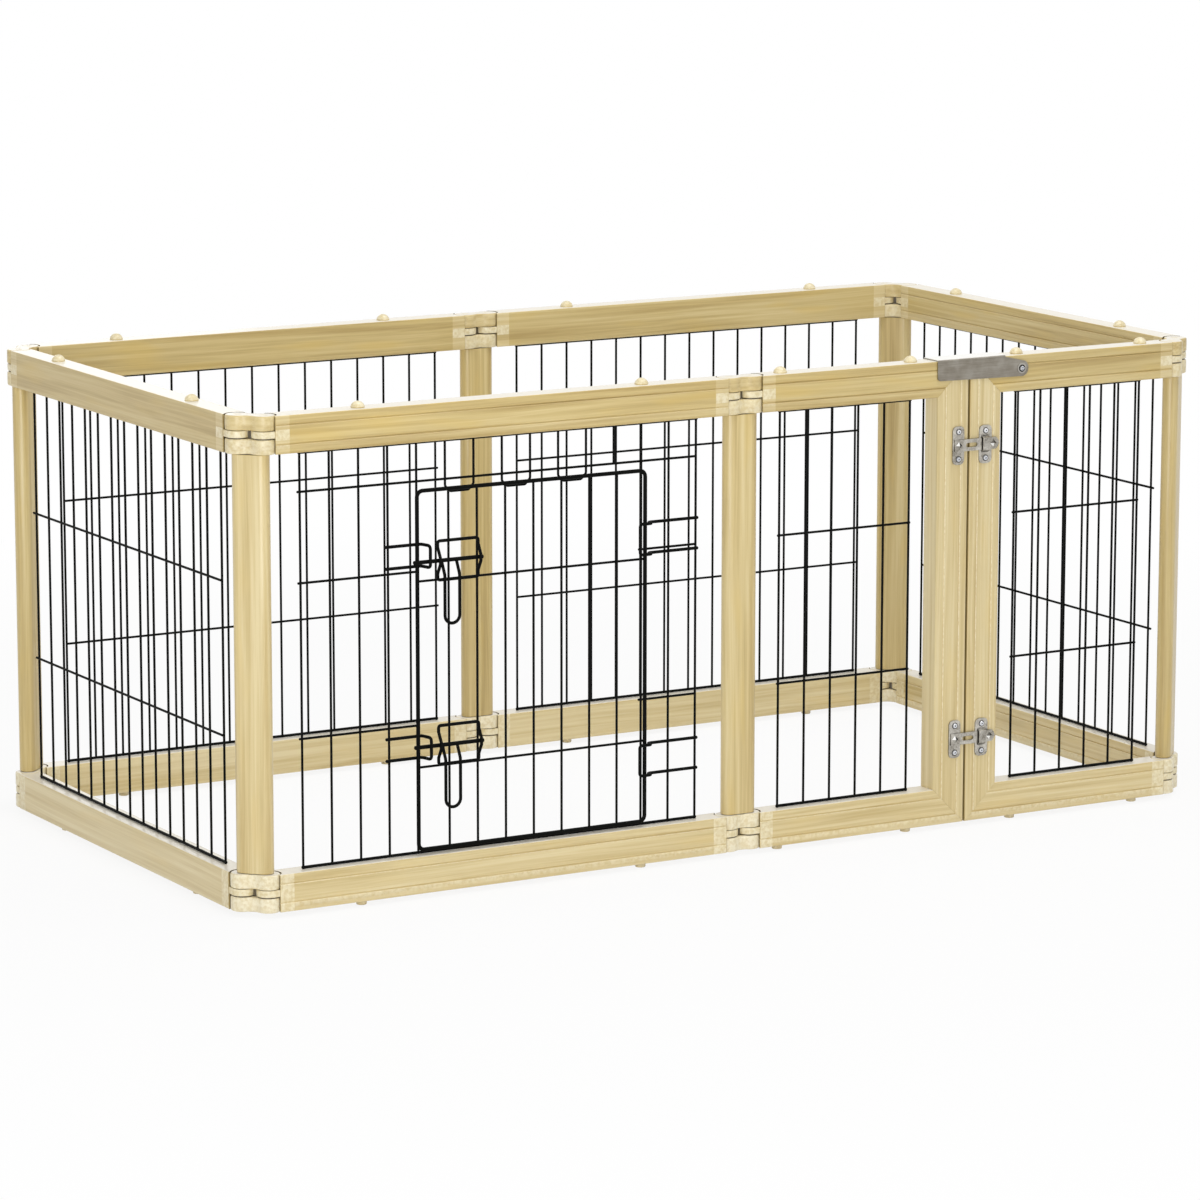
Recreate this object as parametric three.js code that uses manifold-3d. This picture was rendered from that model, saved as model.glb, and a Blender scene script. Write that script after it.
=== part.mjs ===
// A dog playpen: six wooden wire-mesh panels joined round six posts by two-pivot links,
// with a wire door in the front left panel and two half gates in the front right bay.
// Millimetres, +Z up, front towards -Y, origin on the floor under the middle of the pen.

import * as THREE from 'three';
import { mergeVertices } from 'three/addons/utils/BufferGeometryUtils.js';
import Module from 'manifold-3d';

const wasm = await Module();
wasm.setup();

// Driving dimensions of the frame

const RAIL_HEIGHT = 46;
const RAIL_THICKNESS = 30;
const FRAME_HEIGHT = 597; // underside of the bottom rails to the top of the top rails
const FOOT_HEIGHT = 6.5;
const FOOT_RADIUS = 6.5;
const BUTTON_HEIGHT = 6.5;
const BUTTON_RADIUS = 8.5;
const RAIL_EDGE = 1.5; // bevel along the long edges

const GROOVE_WIDTH = 2.4;
const GROOVE_DEPTH = 1.4;
const GROOVE_INSET = 11.5; // each long edge of a rail or stile to the middle of a groove

const FIT_GAP = 0.3; // between pieces that touch
const RUNNING_GAP = 0.6; // between pieces that turn or slide on each other
const OVERRUN = 5; // how far a cutter passes the face it opens

// Links: two plates with a pivot pin for each of the two rails that meet there

const PIVOT_SPACING = 32;
const LOBE_RADIUS = RAIL_THICKNESS / 2;
const WAIST_HALF_WIDTH = 11.5;
const TONGUE_HEIGHT = 9.6;
const TONGUE_RADIUS = 14.5;
const PIN_RADIUS = 4;
const SHOULDER_SETBACK = 8.5; // pivot axis to the flat end of a rail's shoulder
const LOBE_STEPS = 6;
const WAIST_STEPS = 2;
const PIN_SIDES = 8;
const PIN_GAP = 0.1;

const POST_WIDTH = 46;
const POST_DEPTH = 21;
const POST_STEPS = 6;

// Wire meshes

const WIRE = 3;
const ROD = 4.5; // the top and bottom bars
const WIRE_PITCH = 38.8;
const PANEL_PITCHES = 14;
const PIVOT_TO_WIRE = 46.5;
const WIRE_TAIL = 3; // how far a bar runs past its last wire
const UPPER_BAR_DROP = 159; // underside of the top rail to the bar
const LOWER_BAR_RISE = 158; // top of the bottom rail to the bar
const STUB_DEPTH = 8; // how far a wire's end enters a rail

// Gates

const GATES_MEET_LEFT = 5.1; // panel's middle to the left gate's meeting edge
const MEETING_GAP = 3;
const STILE_WIDTH = 46;
const GATE_WIRE_PITCH = 38.4;
const STILE_TO_WIRE = 32.5;
const GATE_PIVOT_CLEAR = 40; // least distance of a gate's wires from its pivot
const MITRE_OVERRUN_SHARE = 0.2; // how far a mitre's cutter passes both its corners

// Doorway and wire door

const PITCHES_BEFORE_DOORWAY = 4;
const DOORWAY_PITCHES = 8;
const DOORWAY_BAR_DROP = 49.5; // underside of the top rail to the bar over the doorway
const DOOR_WIRE = 3;
const DOOR_FRAME_WIRE = 5;
const DOOR_CORNER_RADIUS = 14;
const DOOR_SETOUT = 8; // mesh plane to door plane
const DOOR_LEFT_OUT = 3.5; // door bar outside the doorway's left wire
const DOOR_RIGHT_OUT = 1;
const DOOR_TOP_DROP = 10; // bar over the doorway to the door's top bar
const DOOR_BOTTOM_RISE = 7; // top of the bottom rail to the door's bottom bar
const DOOR_UPPER_BAR_DROP = 108; // door's top bar to its upper thin bar
const DOOR_LOWER_BAR_RISE = 101;
const DOOR_HOOK_REACH = 13.5; // hanging U ends of the cut wires below the bar over the door

const LOOP_WIRE = 4; // keepers, hinge loops, guides and handles
const LOOP_SIDES = 6;
const STEEP_SHARE = 0.9; // of a run's length that rises, past which it counts as upright
const KEEPER_HEIGHT = 26.5;
const KEEPER_UPPER_RISE = 7; // bolt's rod to the middle of its keeper
const KEEPER_LOWER_RISE = -1.5;
const KEEPER_REACH = 20; // mesh plane to the middle of the loop's front
const KEEPER_INSIDE = 9; // keeper loop inside the doorway's left wire
const HINGE_LOOP_HEIGHT = 38;
const HINGE_BAR_GAP = 4.5; // door's thin bar to the middle of the hinge loop's near arm
const HINGE_LOOP_INSIDE = 9.5; // loop's closed end past the door bar

const BOLT_ROD = 5;
const BOLT_LENGTH = 93;
const BOLT_UPPER_RISE = 22.5; // door's thin bar to the bolt above it
const BOLT_LOWER_RISE = 26.5;
const BOLT_TIP_OUT = 7; // bolt tip outside the door's bar
const GUIDE_LEFT = 26; // door bar to the guide's left side
const GUIDE_WIDTH = 55;
const GUIDE_RISE = 25.5; // rod to the guide's top bar
const GUIDE_DROP = 24;
const GUIDE_NOSE = 8; // height of the nose that bows round the rod
const HANDLE_LEFT = 32; // door bar to the handle's left leg
const HANDLE_WIDTH = 20;
const HANDLE_DROP = 79;
const HANDLE_STEP_DROP = 17;
const HANDLE_STEP_OUT = 8.5;

// Steel clasp over the gates' top rails

const CLASP_SHEET = 1.6;
const CLASP_LEFT = 48; // meeting line to the left end
const CLASP_WEB_RIGHT = 52.5; // meeting line to the end of the bend over the rails
const CLASP_PIVOT_RIGHT = 77.5;
const CLASP_PIVOT_DROP = 16.8; // top of the rail to the pivot
const CLASP_LEG = 25;
const CLASP_END_RADIUS = 9.5;
const CLASP_SCREW_RADIUS = 2.5;
const CLASP_HEAD_RADIUS = 5;
const CLASP_HEAD_HEIGHT = 2;

// Latches on the stiles

const LATCH_UPPER_DROP = 109; // top of the frame to the middle of the upper latch
const LATCH_LOWER_RISE = 109.5;
const LATCH_SHEET = 1.5;
const LATCH_PLATE_HEIGHT = 52;
const LATCH_PLATE_WIDTH = 20;
const LATCH_CORNER_RADIUS = 7;
const LATCH_BASE_LEFT = 27; // meeting line to the base plate's left edge
const LATCH_KEEPER_LEFT = 14.5; // meeting line to the keeper plate's left edge
const LATCH_SCREW_SPACING = 36;
const LATCH_SCREW_RADIUS = 3.6;
const LATCH_SCREW_HEAD = 1.4;
const LATCH_BRIDGE_HEIGHT = 21;
const LATCH_KEEPER_BRIDGE_WIDTH = 9;
const LATCH_ARM_HEIGHT = 14.5;
const LATCH_ARM_LENGTH = 71;
const LATCH_SLOT_START = 17.5; // arm's left end to the slot
const LATCH_SLOT_LENGTH = 18;
const LATCH_SLOT_WIDTH = 5;
const LATCH_TAB_SETBACK = 8;
const LATCH_TAB_RADIUS = 3.5;
const LATCH_TAB_HEIGHT = 1.2; // passes under the keeper's bridge

const ROUND_SIDES = 8;
const FINE_SIDES = 12;
const CORNER_STEPS = 3;
const END_STEPS = 6; // round ends of the clasp and the latch arms
const HANDLE_STEPS = 4;

// Places worked out from the sizes

const CORNER_OFFSET = PIVOT_SPACING * Math.SQRT1_2; // corner of the rails' centre lines to a pivot
const PANEL_LENGTH = PANEL_PITCHES * WIRE_PITCH + 2 * PIVOT_TO_WIRE; // pivot axis to pivot axis
const HALF_WIDTH = PANEL_LENGTH + CORNER_OFFSET + PIVOT_SPACING / 2;
const HALF_DEPTH = PANEL_LENGTH / 2 + CORNER_OFFSET;
const FRAME_BOTTOM = FOOT_HEIGHT;
const FRAME_TOP = FRAME_BOTTOM + FRAME_HEIGHT;
const MESH_LOW = RAIL_HEIGHT;
const MESH_HIGH = FRAME_HEIGHT - RAIL_HEIGHT;
const UPPER_BAR_HEIGHT = MESH_HIGH - UPPER_BAR_DROP;
const LOWER_BAR_HEIGHT = MESH_LOW + LOWER_BAR_RISE;
const DOORWAY_BAR_HEIGHT = MESH_HIGH - DOORWAY_BAR_DROP;
const DOOR_TOP_HEIGHT = DOORWAY_BAR_HEIGHT - DOOR_TOP_DROP;
const DOOR_BOTTOM_HEIGHT = MESH_LOW + DOOR_BOTTOM_RISE;
const DOOR_UPPER_BAR_HEIGHT = DOOR_TOP_HEIGHT - DOOR_UPPER_BAR_DROP;
const DOOR_LOWER_BAR_HEIGHT = DOOR_BOTTOM_HEIGHT + DOOR_LOWER_BAR_RISE;
const BOLT_HEIGHTS = [
  DOOR_UPPER_BAR_HEIGHT + BOLT_UPPER_RISE,
  DOOR_LOWER_BAR_HEIGHT + BOLT_LOWER_RISE,
];
const KEEPER_HEIGHTS = [BOLT_HEIGHTS[0] + KEEPER_UPPER_RISE, BOLT_HEIGHTS[1] + KEEPER_LOWER_RISE];
const HINGE_REACH = HINGE_BAR_GAP + HINGE_LOOP_HEIGHT / 2; // thin bar to the middle of the loop
const HINGE_HEIGHTS = [DOOR_UPPER_BAR_HEIGHT + HINGE_REACH, DOOR_LOWER_BAR_HEIGHT - HINGE_REACH];
const DOORWAY_LEFT_WIRE = PITCHES_BEFORE_DOORWAY;
const DOORWAY_RIGHT_WIRE = PITCHES_BEFORE_DOORWAY + DOORWAY_PITCHES;
const PLATE_HEIGHT = (RAIL_HEIGHT - TONGUE_HEIGHT) / 2 - FIT_GAP;
const SCOOP_RADIUS = LOBE_RADIUS + RUNNING_GAP;
const LEFT_GATE_LENGTH = PANEL_LENGTH / 2 - GATES_MEET_LEFT; // pivot axis to meeting edge
const RIGHT_GATE_LENGTH = PANEL_LENGTH - LEFT_GATE_LENGTH - MEETING_GAP;
const MEETING_X = PIVOT_SPACING / 2 + LEFT_GATE_LENGTH + MEETING_GAP / 2;
const FRONT_FACE = -HALF_DEPTH - RAIL_THICKNESS / 2;
const DOOR_HINGE_ALONG = PIVOT_TO_WIRE + DOORWAY_RIGHT_WIRE * WIRE_PITCH + DOOR_RIGHT_OUT;
const DOOR_LEFT_ALONG = PIVOT_TO_WIRE + DOORWAY_LEFT_WIRE * WIRE_PITCH - DOOR_LEFT_OUT;
const BOLT_SETOUT = DOOR_SETOUT + (DOOR_FRAME_WIRE + BOLT_ROD) / 2 + FIT_GAP;
const HANDLE_SETOUT = BOLT_SETOUT + HANDLE_STEP_OUT;
const FRONT_REACH = HANDLE_SETOUT + LOOP_WIRE / 2; // of the bolt handles, from the front panels' plane

// Materials

function finish(color, roughness, metalness) {
  return new THREE.MeshStandardMaterial({ color, roughness, metalness });
}
const pine = finish(0xd8c48c, 0.45, 0);
const pineEnd = finish(0xe6d8ac, 0.45, 0);
const blackWire = finish(0x1c1d1a, 0.4, 0.3);
const brushedSteel = finish(0x9a958b, 0.4, 0.9);
const platedSteel = finish(0xbfb6aa, 0.35, 0.9);

// Solids

function solidOf(geometry) {
  const bare = geometry.clone();
  bare.deleteAttribute('normal');
  bare.deleteAttribute('uv');
  const merged = mergeVertices(bare);
  const vertProperties = new Float32Array(merged.attributes.position.array);
  const triVerts = new Uint32Array(merged.index.array);
  return new wasm.Manifold(new wasm.Mesh({ numProp: 3, vertProperties, triVerts }));
}

function geometryOf(solid) {
  const { numProp, vertProperties, triVerts } = solid.getMesh();
  const corners = new Float32Array((vertProperties.length / numProp) * 3);
  for (let i = 0; i < corners.length / 3; i += 1) {
    for (let k = 0; k < 3; k += 1) corners[3 * i + k] = vertProperties[numProp * i + k];
  }
  const geometry = new THREE.BufferGeometry();
  geometry.setAttribute('position', new THREE.BufferAttribute(corners, 3));
  geometry.setIndex(new THREE.BufferAttribute(new Uint32Array(triVerts), 1));
  geometry.computeVertexNormals();
  return geometry;
}

function join(solids) {
  return solids.reduce((whole, solid) => whole.add(solid));
}

// A block between two heights over an outline in the x, y plane
function prism(outline, low, high) {
  const options = { depth: high - low, bevelEnabled: false, steps: 1 };
  return solidOf(new THREE.ExtrudeGeometry(outline, options).translate(0, 0, low));
}

// A sheet over an outline in the x, z plane, from one y to a larger y
function sheet(outline, front, back) {
  const options = { depth: back - front, bevelEnabled: false, steps: 1 };
  const geometry = new THREE.ExtrudeGeometry(outline, options);
  return solidOf(geometry.rotateX(Math.PI / 2).translate(0, back, 0));
}

function rectangle(left, low, right, high) {
  const outline = new THREE.Shape();
  outline.moveTo(left, low).lineTo(right, low).lineTo(right, high).lineTo(left, high).closePath();
  return outline;
}

function box(x0, y0, z0, x1, y1, z1) {
  return prism(rectangle(x0, y0, x1, y1), z0, z1);
}

// An upright cylinder from one height to another
function upright(x, y, low, high, radius, sides) {
  const geometry = new THREE.CylinderGeometry(radius, radius, high - low, sides);
  return solidOf(geometry.rotateX(Math.PI / 2).translate(x, y, (low + high) / 2));
}

// A cylinder along y
function across(x, z, front, back, radius, sides) {
  const geometry = new THREE.CylinderGeometry(radius, radius, back - front, sides);
  return solidOf(geometry.translate(x, (front + back) / 2, z));
}

// A wire along a bent path of straight runs, mitred at each bend
function wireAlong(points, thickness) {
  const runs = points.slice(1).map((end, i) => end.clone().sub(points[i]).normalize());
  const helper = Math.abs(runs[0].z) < STEEP_SHARE ? point(0, 0, 1) : point(1, 0, 0);
  const across = helper.cross(runs[0]).normalize();
  const beside = runs[0].clone().cross(across);
  let ring = Array.from({ length: LOOP_SIDES }, (_, k) => {
    const turn = (k / LOOP_SIDES) * 2 * Math.PI;
    const reach = across.clone().multiplyScalar(Math.cos(turn)).addScaledVector(beside, Math.sin(turn));
    return points[0].clone().addScaledVector(reach, thickness / 2);
  });
  const rings = [ring];
  runs.forEach((run, i) => {
    const plane = run.clone().add(runs[i + 1] ?? run).normalize();
    ring = ring.map((corner) => {
      const ahead = points[i + 1].clone().sub(corner).dot(plane) / run.dot(plane);
      return corner.clone().addScaledVector(run, ahead);
    });
    rings.push(ring);
  });
  const vertProperties = new Float32Array(rings.flat().flatMap((corner) => corner.toArray()));
  const faces = [];
  for (let k = 0; k < LOOP_SIDES; k += 1) {
    const next = (k + 1) % LOOP_SIDES;
    for (let i = 0; i < runs.length; i += 1) {
      const [low, high] = [i * LOOP_SIDES, (i + 1) * LOOP_SIDES];
      faces.push(low + k, low + next, high + next, low + k, high + next, high + k);
    }
    const last = runs.length * LOOP_SIDES;
    if (k > 0 && next > 0) faces.push(0, next, k, last, last + k, last + next);
  }
  return new wasm.Manifold(new wasm.Mesh({ numProp: 3, vertProperties, triVerts: new Uint32Array(faces) }));
}

function point(x, y, z) {
  return new THREE.Vector3(x, y, z);
}

// Links and posts

// Figure-8 outline of a link plate: two lobes joined by a waist with concave sides
function linkOutline() {
  const half = PIVOT_SPACING / 2;
  const waistRadius = (half * half + WAIST_HALF_WIDTH ** 2 - LOBE_RADIUS ** 2)
    / (2 * (LOBE_RADIUS - WAIST_HALF_WIDTH));
  const waistCentre = WAIST_HALF_WIDTH + waistRadius;
  const lean = Math.atan2(waistCentre, half); // lobe centre to waist centre
  const outline = new THREE.Shape();
  const places = [];
  for (const side of [1, -1]) {
    const middle = side > 0 ? 0 : Math.PI;
    const sweep = Math.PI - lean;
    for (let i = 0; i <= LOBE_STEPS; i += 1) {
      const turn = middle + THREE.MathUtils.lerp(-sweep, sweep, i / LOBE_STEPS);
      places.push([side * half + LOBE_RADIUS * Math.cos(turn), LOBE_RADIUS * Math.sin(turn)]);
    }
    for (let i = 1; i < WAIST_STEPS; i += 1) {
      const turn = THREE.MathUtils.lerp(Math.PI / 2 - lean, lean - Math.PI / 2, i / WAIST_STEPS);
      const height = waistCentre - waistRadius * Math.cos(turn);
      places.push([side * waistRadius * Math.sin(turn), side * height]);
    }
  }
  places.forEach((place, i) => (i === 0 ? outline.moveTo(...place) : outline.lineTo(...place)));
  return outline;
}

// The two plates and the two pins of one link, centred on the post, from the rails' underside up
function linkSolid() {
  const outline = linkOutline();
  const pins = [1, -1].map((side) => upright(
    side * PIVOT_SPACING / 2, 0, PLATE_HEIGHT / 2, RAIL_HEIGHT - PLATE_HEIGHT / 2, PIN_RADIUS, PIN_SIDES,
  ));
  return join([
    prism(outline, 0, PLATE_HEIGHT),
    prism(outline, RAIL_HEIGHT - PLATE_HEIGHT, RAIL_HEIGHT),
    ...pins,
  ]);
}

function postOutline() {
  const radius = POST_DEPTH / 2;
  const straight = (POST_WIDTH - POST_DEPTH) / 2;
  const outline = new THREE.Shape();
  for (const side of [1, -1]) {
    for (let i = 0; i <= POST_STEPS; i += 1) {
      const turn = (side > 0 ? -Math.PI / 2 : Math.PI / 2) + Math.PI * i / POST_STEPS;
      const place = [side * straight + radius * Math.cos(turn), radius * Math.sin(turn)];
      if (side > 0 && i === 0) outline.moveTo(...place);
      else outline.lineTo(...place);
    }
  }
  return outline;
}

function postSolid() {
  return prism(postOutline(), FRAME_BOTTOM + RAIL_HEIGHT + FIT_GAP, FRAME_TOP - RAIL_HEIGHT - FIT_GAP);
}

// Rails

// A beam along x from zero, as high as width, with two grooves along its front face
function groovedBeam(width, length) {
  const half = RAIL_THICKNESS / 2;
  const outline = new THREE.Shape();
  outline.moveTo(-half + RAIL_EDGE, 0).lineTo(half - RAIL_EDGE, 0).lineTo(half, RAIL_EDGE);
  outline.lineTo(half, width - RAIL_EDGE).lineTo(half - RAIL_EDGE, width);
  outline.lineTo(-half + RAIL_EDGE, width).lineTo(-half, width - RAIL_EDGE);
  for (const middle of [width - GROOVE_INSET, GROOVE_INSET]) {
    outline.lineTo(-half, middle + GROOVE_WIDTH / 2).lineTo(-half + GROOVE_DEPTH, middle);
    outline.lineTo(-half, middle - GROOVE_WIDTH / 2);
  }
  outline.lineTo(-half, RAIL_EDGE).closePath();
  const geometry = new THREE.ExtrudeGeometry(outline, { depth: length, bevelEnabled: false, steps: 1 });
  return geometry.rotateX(Math.PI / 2).rotateZ(Math.PI / 2);
}

// Cutter for the mitre between a gate's rail and its stile. It takes away the corner on the
// stile's side of the diagonal, or with ofStile the rail's side, moved on by the fitting gap.
function mitreCutter({ edge, meets, outer, inner, ofStile }) {
  const run = meets * STILE_WIDTH;
  const rise = outer - inner;
  const shift = ofStile ? meets * FIT_GAP : 0;
  const far = [edge + run * MITRE_OVERRUN_SHARE + shift, outer + rise * MITRE_OVERRUN_SHARE];
  const near = [edge - run * (1 + MITRE_OVERRUN_SHARE) + shift, inner - rise * MITRE_OVERRUN_SHARE];
  const third = ofStile ? [near[0], far[1]] : [far[0], near[1]];
  const outline = new THREE.Shape();
  outline.moveTo(...far).lineTo(...near).lineTo(...third).closePath();
  return sheet(outline, -RAIL_THICKNESS, RAIL_THICKNESS);
}

// Cutter that shapes a shoulder round the link's lobes: a round scoop, then a flat end
function shoulderCutter(pivot, inward) {
  const scoop = upright(pivot, 0, -OVERRUN, RAIL_HEIGHT + OVERRUN, SCOOP_RADIUS, 2 * ROUND_SIDES);
  const reach = pivot + inward * SHOULDER_SETBACK;
  const beyond = pivot - inward * (LOBE_RADIUS + OVERRUN);
  const end = box(
    Math.min(reach, beyond), -RAIL_THICKNESS, -OVERRUN,
    Math.max(reach, beyond), RAIL_THICKNESS, RAIL_HEIGHT + OVERRUN,
  );
  return scoop.add(end);
}

// Tongue that reaches from the shoulder to the pivot, with a round end and a pin hole
function tongue(pivot, inward) {
  const low = (RAIL_HEIGHT - TONGUE_HEIGHT) / 2;
  const high = low + TONGUE_HEIGHT;
  const root = pivot + inward * (SCOOP_RADIUS + GROOVE_DEPTH);
  const neck = box(
    Math.min(pivot, root), -TONGUE_RADIUS, low,
    Math.max(pivot, root), TONGUE_RADIUS, high,
  );
  const eye = upright(pivot, 0, low, high, TONGUE_RADIUS, FINE_SIDES);
  const holeRadius = (PIN_RADIUS + PIN_GAP) / Math.cos(Math.PI / PIN_SIDES); // its flats clear the pin
  const hole = upright(pivot, 0, low - OVERRUN, high + OVERRUN, holeRadius, PIN_SIDES);
  return neck.add(eye).subtract(hole);
}

// Dome button on top of a rail, its base just inside the rail's top face
function button(x) {
  const turn = Math.PI / 2;
  const dome = new THREE.SphereGeometry(1, ROUND_SIDES, 2, 0, 2 * Math.PI, 0, turn);
  const base = new THREE.CircleGeometry(1, ROUND_SIDES).rotateX(turn);
  const places = [dome, base].flatMap((half) => [...half.toNonIndexed().attributes.position.array]);
  const whole = new THREE.BufferGeometry();
  whole.setAttribute('position', new THREE.Float32BufferAttribute(places, 3));
  whole.rotateX(turn).scale(BUTTON_RADIUS, BUTTON_RADIUS, BUTTON_HEIGHT);
  return solidOf(whole.translate(x, 0, RAIL_HEIGHT));
}

function foot(x) {
  return upright(x, 0, -FOOT_HEIGHT, RAIL_EDGE, FOOT_RADIUS, ROUND_SIDES);
}

function stubHoles(wires, low, high) {
  const half = WIRE / 2 + FIT_GAP;
  return wires.map((x) => box(x - half, -half, low, x + half, half, high));
}

// A rail from its own left end to its right end. Pivot ends carry a shoulder and a tongue.
function railSolid({ left, right, leftPivot, rightPivot, top, studs, wires }) {
  let solid = solidOf(groovedBeam(RAIL_HEIGHT, right - left).translate(left, 0, 0));
  if (leftPivot) solid = solid.subtract(shoulderCutter(left, 1)).add(tongue(left, 1));
  if (rightPivot) solid = solid.subtract(shoulderCutter(right, -1)).add(tongue(right, -1));
  for (const x of studs) solid = solid.add(top ? button(x) : foot(x));
  const holes = top
    ? stubHoles(wires, -OVERRUN, STUB_DEPTH + FIT_GAP)
    : stubHoles(wires, RAIL_HEIGHT - STUB_DEPTH - FIT_GAP, RAIL_HEIGHT + OVERRUN);
  for (const hole of holes) solid = solid.subtract(hole);
  return solid;
}

// Wire meshes

function wirePlaces(first, pitch, pitches) {
  return Array.from({ length: pitches + 1 }, (_, i) => first + i * pitch);
}

// The end wires reach into the rails and locate the mesh
function stubPlaces(wires) {
  return [wires[0], wires.at(-1)];
}

// The openings between neighbouring wires and bars, given the open stretches of both
function meshOpenings(columns, levels, front, back) {
  return columns.flatMap(([left, right]) => levels.map(
    ([low, high]) => box(left, front, low, right, back, high),
  ));
}

// The open stretches between bars of one thickness at the given places
function stretches(start, places, end, thickness) {
  const edges = [start, ...places.flatMap((x) => [x - thickness / 2, x + thickness / 2]), end];
  return Array.from({ length: edges.length / 2 }, (_, i) => [edges[2 * i], edges[2 * i + 1]]);
}

// Upright wires, thick bars at top and bottom, and thin bars between, as one sheet of wire
function meshSolid(wires, bars, { low, high, stubs }) {
  const lowest = low + FIT_GAP;
  const highest = high - FIT_GAP;
  const half = WIRE / 2;
  const [first, last] = [wires[0], wires.at(-1)];
  const slab = box(first - half, -half, lowest, last + half, half, highest);
  const columns = stretches(first + half, wires.slice(1, -1), last - half, WIRE);
  const levels = stretches(lowest + ROD, bars, highest - ROD, WIRE);
  const solid = slab.subtract(join(meshOpenings(columns, levels, -WIRE, WIRE)));
  const ends = stubs.flatMap((x) => [
    box(x - half, -half, highest - ROD / 2, x + half, half, high + STUB_DEPTH),
    box(x - half, -half, low - STUB_DEPTH, x + half, half, lowest + ROD / 2),
  ]);
  return join([solid, ...ends]);
}

// Mesh of the panel with the doorway: the wires over the door stop at its head bar or hang in Us
function doorwayMeshSolid(wires, bars) {
  const low = MESH_LOW;
  const high = MESH_HIGH;
  const left = wires[DOORWAY_LEFT_WIRE] + WIRE / 2;
  const right = wires[DOORWAY_RIGHT_WIRE] - WIRE / 2;
  let solid = meshSolid(wires, [...bars, DOORWAY_BAR_HEIGHT], { low, high, stubs: stubPlaces(wires) });
  const head = DOORWAY_BAR_HEIGHT - WIRE / 2;
  solid = solid.subtract(sheet(rectangle(left, low + FIT_GAP + ROD, right, head), -WIRE, WIRE));
  const hooks = [];
  for (let i = DOORWAY_LEFT_WIRE + 1; i + 2 < DOORWAY_RIGHT_WIRE; i += 2) {
    hooks.push(hangingU(wires[i], wires[i + 1], head));
  }
  const loops = KEEPER_HEIGHTS.map((z) => keeperLoop(wires, z));
  const hinges = HINGE_HEIGHTS.map((z) => hingeLoop(wires, z));
  return join([solid, ...hooks, ...loops, ...hinges]);
}

// Two cut wires over the door joined by a U that holds the door's top bar back
function hangingU(left, right, head) {
  const reach = DOOR_HOOK_REACH;
  const corner = reach / 2;
  return wireAlong([
    point(left, 0, head + WIRE / 2),
    point(left, 0, head - reach + corner),
    point(left + corner, 0, head - reach),
    point(right - corner, 0, head - reach),
    point(right, 0, head - reach + corner),
    point(right, 0, head + WIRE / 2),
  ], WIRE);
}

// Loop that the bolt enters: two arms on the wires beside the doorway, bent forward to a closed end
function keeperLoop(wires, middle) {
  const start = wires[DOORWAY_LEFT_WIRE - 1] - WIRE_TAIL;
  const bend = wires[DOORWAY_LEFT_WIRE] + KEEPER_INSIDE;
  const setout = (WIRE + LOOP_WIRE) / 2 - FIT_GAP;
  const corner = LOOP_WIRE;
  const rise = KEEPER_HEIGHT / 2;
  return wireAlong([
    point(start, -setout, middle + rise),
    point(bend, -setout, middle + rise),
    point(bend, -KEEPER_REACH + corner, middle + rise),
    point(bend, -KEEPER_REACH, middle + rise - corner),
    point(bend, -KEEPER_REACH, middle - rise + corner),
    point(bend, -KEEPER_REACH + corner, middle - rise),
    point(bend, -setout, middle - rise),
    point(start, -setout, middle - rise),
  ], LOOP_WIRE);
}

// Loop that the door's right bar turns in: from the end wires, round the front of the bar
function hingeLoop(wires, middle) {
  const bar = DOOR_HINGE_ALONG;
  const setout = (WIRE + LOOP_WIRE) / 2 - FIT_GAP;
  const front = DOOR_SETOUT + (DOOR_FRAME_WIRE + LOOP_WIRE) / 2 + FIT_GAP;
  const step = bar + DOOR_FRAME_WIRE + LOOP_WIRE / 2;
  const closed = bar - HINGE_LOOP_INSIDE;
  const rise = HINGE_LOOP_HEIGHT / 2;
  const arm = (z) => [point(wires.at(-1), -setout, z), point(step, -setout, z), point(step, -front, z)];
  return wireAlong([
    ...arm(middle + rise),
    point(closed, -front, middle + rise),
    point(closed, -front, middle - rise),
    ...arm(middle - rise).reverse(),
  ], LOOP_WIRE);
}

// Wire door with the guides of its two bolts

function roundedRectangle(left, low, right, high, radius) {
  const outline = new THREE.Shape();
  const corners = [
    [right - radius, low + radius], [right - radius, high - radius],
    [left + radius, high - radius], [left + radius, low + radius],
  ];
  corners.forEach(([x, z], n) => {
    for (let i = 0; i <= CORNER_STEPS; i += 1) {
      const turn = Math.PI / 2 * (n - 1 + i / CORNER_STEPS);
      const place = [x + radius * Math.cos(turn), z + radius * Math.sin(turn)];
      if (n === 0 && i === 0) outline.moveTo(...place);
      else outline.lineTo(...place);
    }
  });
  return outline;
}

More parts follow.
